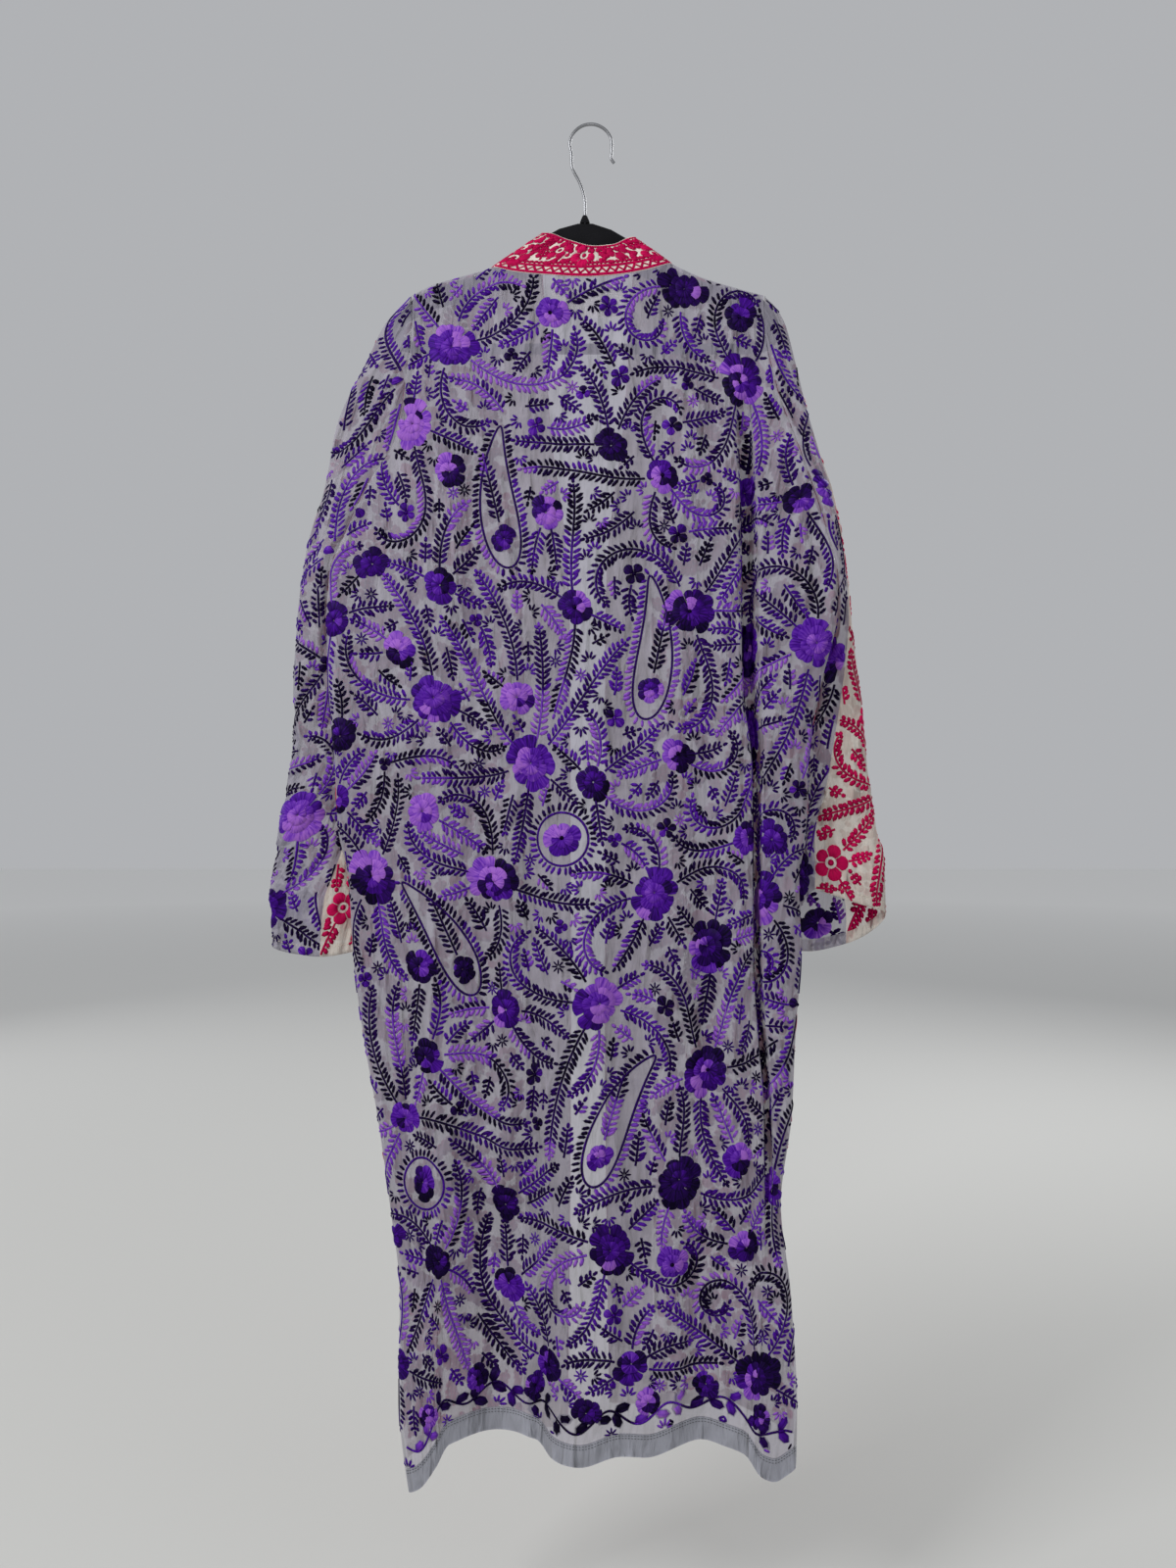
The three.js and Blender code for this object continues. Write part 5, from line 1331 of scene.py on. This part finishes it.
class Ground:
    """The flat piece as small cells that motifs take up, so that they keep clear of each other"""

    CELL = 3.0
    FREE, OFF_PIECE, TAKEN = 0, -1, -2  # a cell that a flower holds has the flower's number

    def __init__(self, panel):
        places = panel.flat.reshape(-1, 2)
        self.low = places.min(axis=0) - 2
        size = places.max(axis=0) + 2 - self.low
        self.x, self.y = np.meshgrid(*[np.arange(int(s / self.CELL) + 1) * self.CELL + low
                                       for s, low in zip(size, self.low)], indexing="ij")
        cells = np.stack([self.x.ravel(), self.y.ravel()], axis=1)
        on_piece = panel.seat(cells, np.zeros(len(cells)))[1]
        self.owner = np.where(on_piece, self.FREE, self.OFF_PIECE).reshape(self.x.shape)
        self.area = on_piece.sum() * self.CELL**2

    def cell(self, x, y):
        return round((x - self.low[0]) / self.CELL), round((y - self.low[1]) / self.CELL)

    def is_free(self, x, y, owner=FREE):
        i, j = self.cell(x, y)
        rows, columns = self.owner.shape
        return 0 <= i < rows and 0 <= j < columns and self.owner[i, j] in (self.FREE, owner)

    def take(self, x, y, radius, owner=TAKEN):
        i, j = self.cell(x, y)
        reach = int(radius / self.CELL) + 1
        block = np.s_[max(0, i - reach):max(0, i + reach + 1), max(0, j - reach):max(0, j + reach + 1)]
        near = np.hypot(self.x[block] - x, self.y[block] - y) <= radius
        self.owner[block][near & (self.owner[block] != self.OFF_PIECE)] = owner

    def free_places(self, rng, count):
        """Some free places, in a shuffled order"""
        cells = np.flatnonzero(self.owner == self.FREE)
        if not len(cells):
            return []
        chosen = cells[rng.permutation(len(cells))[:count]] if count > 1 else [rng.choice(cells)]
        return [(self.x.flat[i], self.y.flat[i]) for i in chosen]

    def grow(self, rng, x, y, heading, longest, owner=FREE):
        """A vine's line, step by step, until it would meet another motif or the edge"""
        turn, change = rng.normal(0, 0.007), rng.normal(0, 0.00025)
        line = [(x, y)]
        for step in range(int(longest / STEP)):
            heading += (turn + change * step * STEP) * STEP
            x, y = x + STEP * math.cos(heading), y + STEP * math.sin(heading)
            if not self.is_free(x, y, owner):
                break
            line.append((x, y))
        return line


# The pieces
TEARDROPS = (  # on the back: place across, height, length, lean in degrees, side of the curl
    (-104, -410, 150, 14, 1), (74, -570, 150, -12, -1), (-160, -870, 140, 24, -1),
    (24, -1060, 150, -18, 1),
)
RINGS = ((-30, -770, 28), (-196, -1130, 27))  # on the back: place across, height, radius
SLEEVE_FLOWERS = {  # on the sleeves' fronts, near the cuffs: place across, height, radius
    "left": ((-112, -846, 18), (-46, -770, 14)),
    "right": ((34, -716, 17), (26, -570, 12), (66, -822, 15)),
}
COLLAR_FLOWERS = ((50, 31, 14), (-20, 33, 12))  # behind the neck: place from its middle, height, radius

# The wavy stem above the hem seam, and the collar's lines, zigzag and comb of leaves
HEM_BORDER = {"height": 19, "swing": 8, "wave": 66, "flower": 14.5, "flower_offset": 9}
COLLAR_LINES = (1.7, 2.9, 11.2, 12.4)  # heights of the border's four straight lines
COLLAR_ZIGZAG = {"low": 4.4, "high": 9.4, "pitch": 3.8, "strands": (0, 0.9)}
COLLAR_COMB = {"height": 12.9, "pitch": 4.2}


def border_along_hem(work):
    """A wavy stem with leaves and flowers just above the hem seam, right across the back"""
    flat = work.panel.flat
    across = np.arange(flat[-1, 0, 0] + 8, flat[-1, -1, 0] - 8, STEP)
    hem = np.interp(across, flat[-1, :, 0], flat[-1, :, 1])
    wave = np.sin(across * 2 * math.pi / HEM_BORDER["wave"])
    line = np.stack([across, hem + HEM_BORDER["height"] + HEM_BORDER["swing"] * wave], axis=1)
    shade_at = work.drift(len(line) * STEP)
    work.add_stem(line, [shade_at(i * STEP) * 0.6 for i in range(len(line))])
    for i in range(3, len(line) - 3, 7):
        x, y = line[i]
        heading = math.atan2(line[i + 1][1] - line[i - 1][1], line[i + 1][0] - line[i - 1][0])
        for side in (1, -1):
            work.add_leaf(x, y, heading + side * 0.8, shade_at(i * STEP), 1.6, 2.5)
    offset = HEM_BORDER["flower_offset"]
    for i in range(11, len(line) - 6, 22):
        x, y = line[i][0], line[i][1] + (2 * offset if wave[i] < 0 else 0)
        work.add_flower(x, y, HEM_BORDER["flower"])
        work.ground.take(x, y, 20)
    for x, y in line:
        work.ground.take(x, y, 19)


def make_back():
    panel = Panel("back_panel", back_grid(row_drops(SIDE_LENGTH)))
    cloth = add_cloth("back_panel", panel.points, panel.flat, "grey georgette")
    work = VioletWork(panel, settings().embroidery.seed)
    border_along_hem(work)
    for x, z, length, lean, side in TEARDROPS:
        work.add_teardrop(x, z, length, math.radians(lean), side)
    for ring in RINGS:
        work.add_ring(*ring)
    work.fill()
    work.finish("back", "violet space-dyed rayon", "grey_georgette")


def inner_layer(panel, from_fold):
    """The inner layer of a folded band, from the fold back to the seam"""
    room = FOLD_ROOM[panel.name] * quarter(from_fold / 2)
    return (panel.points - panel.normals * room)[::-1]


def make_hem_band():
    panel = Panel("hem_band", back_grid(np.linspace(0, 1, BAND_ROWS), from_top=False))
    from_fold = panel.flat[..., 1:] - panel.flat[-1:, :, 1:]
    grid = joined(panel.points, inner_layer(panel, from_fold))
    flat = joined(panel.flat, panel.flat[::-1] * (1, -1) + panel.flat[-1:] * (0, 2))
    cloth = add_cloth("hem_band", grid, flat, "doubled grey georgette")
    across = panel.flat[0, 3:-3]
    lines = [panel.seat(across - (0, drop), np.full(len(across), 0.2))[0] for drop in (1.6, 4.4)]
    stitches = add_stitch_lines("hem_band_stitches", lines, "dark grey polyester")


def make_fronts():
    for side in ("left", "right"):
        node = f"front_{side}"
        panel = Panel(node, front_grid(side))
        cloth = add_cloth(node, panel.turned_under(TURN_UP), panel.flat, "cream georgette")
        work = CrimsonWork(panel, settings().embroidery.seed + (1 if side == "left" else 2))
        work.fill()
        stitches = hem_stitches(panel)
        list(work.finish(node, "crimson rayon", "cream_georgette"))


def hem_stitches(panel):
    """One line of machine stitches above a turned edge"""
    edge = panel.flat[-1, 2:-2] + (0, STITCH_RISE)
    line = panel.seat(edge, np.full(len(edge), 0.15))[0]
    return add_stitch_lines(f"{panel.name}_stitches", [line], "cream polyester")


def make_sleeves():
    seed = settings().embroidery.seed + 3
    for side in ("left", "right"):
        for half in ("back", "front"):
            node = f"sleeve_{side}_{half}"
            panel = Panel(node, sleeve_grid(side, half), middle=-400 if side == "left" else 400)
            colour = "grey" if half == "back" else "cream"
            cloth = add_cloth(node, panel.turned_under(TURN_UP), panel.flat, f"{colour} georgette")
            work = (VioletWork if half == "back" else CrimsonWork)(panel, seed)
            seed += 1
            work.fill(SLEEVE_FLOWERS[side] if half == "front" else ())
            thread = "violet space-dyed rayon" if half == "back" else "crimson rayon"
            pieces = work.finish(node, thread, f"{colour}_georgette")
            hem_stitches(panel)


def border_along_collar(work, along, height):
    """Lines, a zigzag and a comb of leaves on the seam side, and a line with leaves on the free edge"""
    places = np.arange(3, along[-1] - 3, STEP)
    for level in COLLAR_LINES:
        work.add_stem(np.stack([places, np.full(len(places), level)], axis=1), 0.5)
    zigzag = np.arange(3, along[-1] - 3, COLLAR_ZIGZAG["pitch"])
    levels = np.where(np.arange(len(zigzag)) % 2, COLLAR_ZIGZAG["low"], COLLAR_ZIGZAG["high"])
    for shift in COLLAR_ZIGZAG["strands"]:
        work.add_stem(np.stack([zigzag + shift, levels], axis=1), 0.45)
    for x in np.arange(4, along[-1] - 4, COLLAR_COMB["pitch"]):
        work.add_leaf(x, COLLAR_COMB["height"], math.pi / 2, 0.5, 0.62, 0.75)
    edge = np.interp(places, along, height)
    work.add_stem(np.stack([places, edge - 1.8], axis=1), 0.5)
    for x, top in zip(places[1::2], edge[1::2]):
        heading = -math.pi / 2 + work.rng.uniform(-0.5, 0.5)
        work.add_leaf(x, top - 2, heading, 0.5, work.rng.uniform(0.5, 1.1), 1.15)
    for x, top in zip(places, edge):
        work.ground.take(x, 9, 10)
        work.ground.take(x, top, 5)


def make_collar():
    seam, free = collar_lines()
    rows = np.linspace(0, 1, BAND_ROWS)[:, None, None]
    middle = (seam + free) / 2
    along = joined([0], np.cumsum(np.linalg.norm(np.diff(middle, axis=0), axis=1)))
    height = np.linalg.norm(free - seam, axis=1)
    flat = np.stack(np.broadcast_arrays(along[None], height[None] * (1 - rows[..., 0])), axis=2)
    panel = Panel("collar_band", mix(free[None], seam[None], rows), flat)
    from_fold = (height[None] * rows[..., 0])[..., None]
    grid = joined(inner_layer(panel, from_fold), panel.points)
    inner_flat = (flat * (1, -1) + (0, 2) * flat[:1])[::-1]
    cloth = add_cloth("collar_band", grid, joined(inner_flat, flat), "doubled cream georgette")
    work = CollarWork(panel, settings().embroidery.seed + 9)
    border_along_collar(work, along, height)
    work.fill([(along[-1] / 2 + x, y, radius) for x, y, radius in COLLAR_FLOWERS])
    work.finish("collar", "crimson rayon", "collar_cloth")


LABEL = {"left": -42, "right": 40, "top": -181, "bottom": -213, "inset": 0.9}
LABEL_COLUMNS, LABEL_ROWS = 42, 17


def make_label():
    """A blank woven label, sewn round its edge inside the back"""
    x, z = np.meshgrid(np.linspace(LABEL["left"], LABEL["right"], LABEL_COLUMNS),
                       np.linspace(LABEL["top"], LABEL["bottom"], LABEL_ROWS))
    points = np.stack([x, back_y(x, z, shoulder_line(x)) + LABEL["inset"], z], axis=2)
    panel = Panel("label", points)
    cloth = add_cloth("label", panel.points, panel.flat, "woven satin tape")
    flat = panel.flat
    edge = joined(flat[1, 1:-1], flat[1:-1, -2], flat[-2, -2:0:-1], flat[-2:0:-1, 1])
    line = panel.seat(edge, np.full(len(edge), -0.3))[0]
    stitches = add_stitch_lines("label_stitches", [line], "cream polyester")


# The hook's wire, point by point from its foot: across and height. The crook goes round by angle
HOOK_STEM = ((-6.4, -106.2), (-6.4, -92), (-7, -78), (-12, -62), (-20, -46))
CROOK = {"from": 205, "to": -12, "turn": 31, "radius": 23}
HOOK_LIP = ((22, -35.35), (25, -40.35))
SOCKET = ((0, 5.2), (1.2, 5.4), (3.5, 4.6), (7.5, 2.9), (8.6, 2.3), (9, 1.6))  # height and radius
SOCKET_HALF = 3.4  # half the thickness of the socket, which is flat at the front and back


def make_hanger():
    """The velvet hanger as it is in the frame, its wire hook, and the little socket that holds it"""
    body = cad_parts["hanger_body"]
    body.data.materials.clear()
    body.data.materials.append(bpy.data.materials["black flocked velvet"])
    wire = settings().hanger.wire / MM
    points = list(HOOK_STEM)
    for angle in range(CROOK["from"], CROOK["to"] - 1, -CROOK["turn"]):
        radians = math.radians(angle)
        points.append((CROOK["radius"] * math.cos(radians),
                       wire / 2 - CROOK["radius"] + CROOK["radius"] * math.sin(radians)))
    points += HOOK_LIP
    points = np.array([(x, 0, z) for x, z in points])
    lead_in, lead_out = 2 * points[0] - points[1], 2 * points[-1] - points[-2]
    knots = np.vstack([lead_in, points, lead_out])
    line = []
    for a, b, c, d in zip(knots, knots[1:], knots[2:], knots[3:]):
        for s in np.arange(0, 1, 0.125):
            line.append(0.5 * (2 * b + (c - a) * s + (2 * a - 5 * b + 4 * c - d) * s**2
                               + (3 * b - a - 3 * c + d) * s**3))
    line.append(points[-1])
    hook = grow_mesh(tree_named("bent wire"), [line], "chrome-plated wire")
    add_piece("hanger_hook_wire", hook, "chrome-plated wire", "hanger_hook")
    turn = np.linspace(0, 2 * math.pi, 25)
    heights, radii = np.array(SOCKET).T
    x = HOOK_STEM[0][0] + radii[:, None] * np.cos(turn)
    y = np.clip(radii[:, None] * np.sin(turn), -SOCKET_HALF, SOCKET_HALF)
    z = HOOK_STEM[0][1] + heights[:, None] + 0 * turn
    rows, columns = z.shape
    faces = [(r * columns + c, r * columns + c + 1, (r + 1) * columns + c + 1, (r + 1) * columns + c)
             for r in range(rows - 1) for c in range(columns - 1)]
    flat = np.stack([turn * 5 + 0 * z, z], axis=2)
    socket = new_mesh(np.stack([x, y, z], axis=2).reshape(-1, 3), faces, flat.reshape(-1, 2))
    add_piece("hanger_socket", socket, "black flocked velvet")


FLOOR_HALF = 12000  # half the floor's width
LIT_PLACE = Vector((0, 0, -0.4))  # where every lamp points, in metres
LAMPS = (  # place in metres, share of the main lamp's power, and width
    ("key", (-2.0, -1.7, 1.2), 1, 1.1),
    ("fill", (2.6, -2.4, 0.5), 0.2, 2.4),
    ("front key", (1.8, 2.2, 1.2), 0.9, 1.4),
    ("front fill", (-2.8, 2.4, 0.4), 0.3, 2.4),
    ("inner fill", (0, -2.6, -0.3), 0.16, 1.0),
)
CAMERA_ACROSS, CAMERA_HEIGHT = -0.003, -0.712


def make_stage():
    """A pale floor, with painted shade near the garment and painted light far off, soft lights and the
    camera of the photograph
    """
    stage = settings().stage
    scene = bpy.context.scene
    scene.view_settings.view_transform = "Standard"
    tree, shader = new_material("pale matt floor", Roughness=0.9)
    place = add_node(tree, "ShaderNodeTexCoord").outputs["Object"]
    distance = add_node(tree, "ShaderNodeVectorMath", {0: place}, operation="LENGTH")
    far = add_node(tree, "ShaderNodeMapRange", {
        "Value": distance.outputs["Value"], "From Min": 1.5, "From Max": 9.0})
    # Painted shade and light: the floor is darker close under the garment, where the lamps fall, and
    # lighter far off, where it meets the sky
    tone = add_node(tree, "ShaderNodeValToRGB", {"Fac": far.outputs["Result"]}, stops=(
        (0.0, hex_linear("#b6b6b3")), (1.0, hex_linear("#fafaf8"))))
    tree.links.new(tone.outputs["Color"], shader.inputs["Base Color"])
    half = FLOOR_HALF
    corners = [(-half, -half, 0), (half, -half, 0), (half, half, 0), (-half, half, 0)]
    floor = new_mesh(np.array(corners) + (0, 0, stage.floor / MM), [(0, 1, 2, 3)],
                     np.array(corners)[:, :2])
    floor.materials.append(bpy.data.materials["pale matt floor"])
    floor_object = bpy.data.objects.new("floor", floor)
    scene.collection.objects.link(floor_object)

    world = bpy.data.worlds.new("soft daylight")
    world.use_nodes = True
    background = world.node_tree.nodes["Background"]
    background.inputs["Color"].default_value = hex_linear("#eceef2")
    background.inputs["Strength"].default_value = stage.sky
    scene.world = world

    for name, place, share, width in LAMPS:
        light = bpy.data.lights.new(name, "AREA")
        light.energy, light.size = stage.lamp * share, width
        # The inner fill stands for the daylight that passes through the cloth
        light.use_shadow = name != "inner fill"
        lamp = bpy.data.objects.new(name, light)
        lamp.location = place
        lamp.rotation_euler = (LIT_PLACE - Vector(place)).to_track_quat("-Z", "Y").to_euler()
        scene.collection.objects.link(lamp)

    camera = bpy.data.cameras.new("camera")
    camera.sensor_fit = "VERTICAL"
    camera.angle_y = stage.view_angle
    viewer = bpy.data.objects.new("camera", camera)
    viewer.location = (CAMERA_ACROSS, -stage.distance, CAMERA_HEIGHT)
    viewer.rotation_euler = (math.pi / 2, 0, 0)
    scene.collection.objects.link(viewer)
    scene.camera = viewer


# What a user of the add-on would change
class ClothSettings(bpy.types.PropertyGroup):
    grey: bpy.props.FloatVectorProperty(
        name="Back cloth", description="Colour of the back and of the sleeves' backs", subtype="COLOR",
        default=hex_linear("#95919e")[:3], min=0, max=1)
    cream: bpy.props.FloatVectorProperty(
        name="Front cloth", description="Colour of the fronts and of the sleeves' fronts",
        subtype="COLOR", default=hex_linear("#cdc4ba")[:3], min=0, max=1)
    hem: bpy.props.FloatVectorProperty(
        name="Hem band", description="Colour of the plain band along the back hem", subtype="COLOR",
        default=hex_linear("#8f9099")[:3], min=0, max=1)
    cover: bpy.props.FloatProperty(
        name="Cover", description="Share of the light that one layer of the open weave stops",
        subtype="FACTOR", default=0.66, min=0.2, max=1)
    crinkle_width: bpy.props.FloatProperty(
        name="Crinkle width", description="Width of the fine washed crinkles", unit="LENGTH",
        default=9 * MM, min=2 * MM, max=50 * MM)
    crease_share: bpy.props.FloatProperty(
        name="Crease depth", description="Depth of the soft creases, as a share of the table's",
        subtype="FACTOR", default=1.5, min=0, max=2)


class EmbroiderySettings(bpy.types.PropertyGroup):
    violet: bpy.props.FloatVectorProperty(
        name="Violet thread", description="Middle shade of the thread on the grey cloth",
        subtype="COLOR", default=hex_linear("#400c84")[:3], min=0, max=1)
    crimson: bpy.props.FloatVectorProperty(
        name="Crimson thread", description="Middle shade of the thread on the cream cloth",
        subtype="COLOR", default=hex_linear("#aa0645")[:3], min=0, max=1)
    leaf_length: bpy.props.FloatProperty(
        name="Leaf length", description="Length of one leaf stitch", unit="LENGTH", default=12.2 * MM,
        min=4 * MM, max=30 * MM)
    leaf_width: bpy.props.FloatProperty(
        name="Leaf width", description="Width of one leaf stitch", unit="LENGTH", default=4.8 * MM,
        min=1 * MM, max=10 * MM)
    leaf_rise: bpy.props.FloatProperty(
        name="Leaf rise", description="Thickness of the laid thread in a leaf, through the cloth",
        unit="LENGTH", default=1.2 * MM, min=0.2 * MM, max=3 * MM)
    stem_width: bpy.props.FloatProperty(
        name="Stem width", description="Width of a line of stem stitch", unit="LENGTH",
        default=3.3 * MM, min=0.5 * MM, max=5 * MM)
    seed: bpy.props.IntProperty(
        name="Seed", description="Number that sets out the vines and flowers", default=20, min=0)


class SewingSettings(bpy.types.PropertyGroup):
    stitch_length: bpy.props.FloatProperty(
        name="Stitch length", description="Length of one machine stitch", unit="LENGTH",
        default=2.5 * MM, min=1 * MM, max=6 * MM)
    stitch_pitch: bpy.props.FloatProperty(
        name="Stitch pitch", description="Distance from one machine stitch to the next",
        unit="LENGTH", default=3.3 * MM, min=1 * MM, max=8 * MM)
    thread: bpy.props.FloatProperty(
        name="Thread", description="Thickness of the sewing thread as it lies in a seam",
        unit="LENGTH", default=0.7 * MM, min=0.1 * MM, max=2 * MM)


class HangerSettings(bpy.types.PropertyGroup):
    wire: bpy.props.FloatProperty(
        name="Wire", description="Diameter of the hook's wire", unit="LENGTH", default=3.3 * MM,
        min=2 * MM, max=5 * MM)
    velvet: bpy.props.FloatVectorProperty(
        name="Velvet", description="Colour of the hanger's flock", subtype="COLOR",
        default=hex_linear("#0f0f12")[:3], min=0, max=1)


class StageSettings(bpy.types.PropertyGroup):
    floor: bpy.props.FloatProperty(
        name="Floor", description="Height of the floor", unit="LENGTH", default=-1.62)
    sky: bpy.props.FloatProperty(
        name="Sky", description="Strength of the light from all round", default=0.52, min=0, max=5)
    lamp: bpy.props.FloatProperty(
        name="Lamp", description="Power of the main lamp", unit="POWER", default=66, min=0)
    distance: bpy.props.FloatProperty(
        name="Distance", description="Distance of the camera from the garment", unit="LENGTH",
        default=1.35, min=0.5, max=10)
    view_angle: bpy.props.FloatProperty(
        name="View angle", description="Height of the camera's view", subtype="ANGLE",
        default=math.radians(64.27), min=0.1, max=2)


class KimonoSettings(bpy.types.PropertyGroup):
    cloth: bpy.props.PointerProperty(type=ClothSettings)
    embroidery: bpy.props.PointerProperty(type=EmbroiderySettings)
    sewing: bpy.props.PointerProperty(type=SewingSettings)
    hanger: bpy.props.PointerProperty(type=HangerSettings)
    stage: bpy.props.PointerProperty(type=StageSettings)


def settings():
    return bpy.context.scene.kimono


class KIMONO_OT_materials(bpy.types.Operator):
    """Make the cloth, thread, tape, velvet and chrome"""

    bl_idname = "kimono.materials"
    bl_label = "Materials"

    def execute(self, context):
        make_materials()
        return {"FINISHED"}


class KIMONO_OT_back(bpy.types.Operator):
    """Make the grey back with its violet embroidery"""

    bl_idname = "kimono.back"
    bl_label = "Back"

    def execute(self, context):
        make_back()
        return {"FINISHED"}


class KIMONO_OT_hem_band(bpy.types.Operator):
    """Make the plain folded band along the back hem"""

    bl_idname = "kimono.hem_band"
    bl_label = "Hem band"

    def execute(self, context):
        make_hem_band()
        return {"FINISHED"}


class KIMONO_OT_fronts(bpy.types.Operator):
    """Make the two cream fronts with their crimson embroidery"""

    bl_idname = "kimono.fronts"
    bl_label = "Fronts"

    def execute(self, context):
        make_fronts()
        return {"FINISHED"}


class KIMONO_OT_sleeves(bpy.types.Operator):
    """Make the four halves of the sleeves"""

    bl_idname = "kimono.sleeves"
    bl_label = "Sleeves"

    def execute(self, context):
        make_sleeves()
        return {"FINISHED"}


class KIMONO_OT_collar(bpy.types.Operator):
    """Make the folded collar band, closely embroidered"""

    bl_idname = "kimono.collar"
    bl_label = "Collar"

    def execute(self, context):
        make_collar()
        return {"FINISHED"}


class KIMONO_OT_label(bpy.types.Operator):
    """Make the blank label inside the back"""

    bl_idname = "kimono.label"
    bl_label = "Label"

    def execute(self, context):
        make_label()
        return {"FINISHED"}


class KIMONO_OT_hanger(bpy.types.Operator):
    """Finish the velvet hanger and make its hook"""

    bl_idname = "kimono.hanger"
    bl_label = "Hanger"

    def execute(self, context):
        make_hanger()
        return {"FINISHED"}


class KIMONO_OT_stage(bpy.types.Operator):
    """Make the floor, the lights and the camera"""

    bl_idname = "kimono.stage"
    bl_label = "Stage"

    def execute(self, context):
        make_stage()
        return {"FINISHED"}


OPERATORS = (
    KIMONO_OT_stage, KIMONO_OT_materials, KIMONO_OT_back, KIMONO_OT_hem_band, KIMONO_OT_fronts,
    KIMONO_OT_sleeves, KIMONO_OT_collar, KIMONO_OT_label, KIMONO_OT_hanger,
)


class KIMONO_PT_panel(bpy.types.Panel):
    """Lists the kimono's sizes and colours, and a button for each of its pieces"""

    bl_idname = "KIMONO_PT_panel"
    bl_label = "Kimono"
    bl_space_type = "VIEW_3D"
    bl_region_type = "UI"
    bl_category = "Kimono"

    def draw(self, context):
        for key in ("cloth", "embroidery", "sewing", "hanger", "stage"):
            box = self.layout.box()
            box.label(text=key.capitalize())
            group = getattr(context.scene.kimono, key)
            for name in group.__annotations__:
                box.prop(group, name)
        for operator in OPERATORS:
            self.layout.operator(operator.bl_idname)


CLASSES = (
    ClothSettings, EmbroiderySettings, SewingSettings, HangerSettings, StageSettings, KimonoSettings,
    *OPERATORS, KIMONO_PT_panel,
)


def register():
    for cls in CLASSES:
        bpy.utils.register_class(cls)
    bpy.types.Scene.kimono = bpy.props.PointerProperty(type=KimonoSettings)


def unregister():
    del bpy.types.Scene.kimono
    for cls in reversed(CLASSES):
        bpy.utils.unregister_class(cls)


def main():
    register()
    for operator in OPERATORS:
        getattr(bpy.ops.kimono, operator.bl_idname.split(".")[1])()


if __name__ == "__main__":
    main()
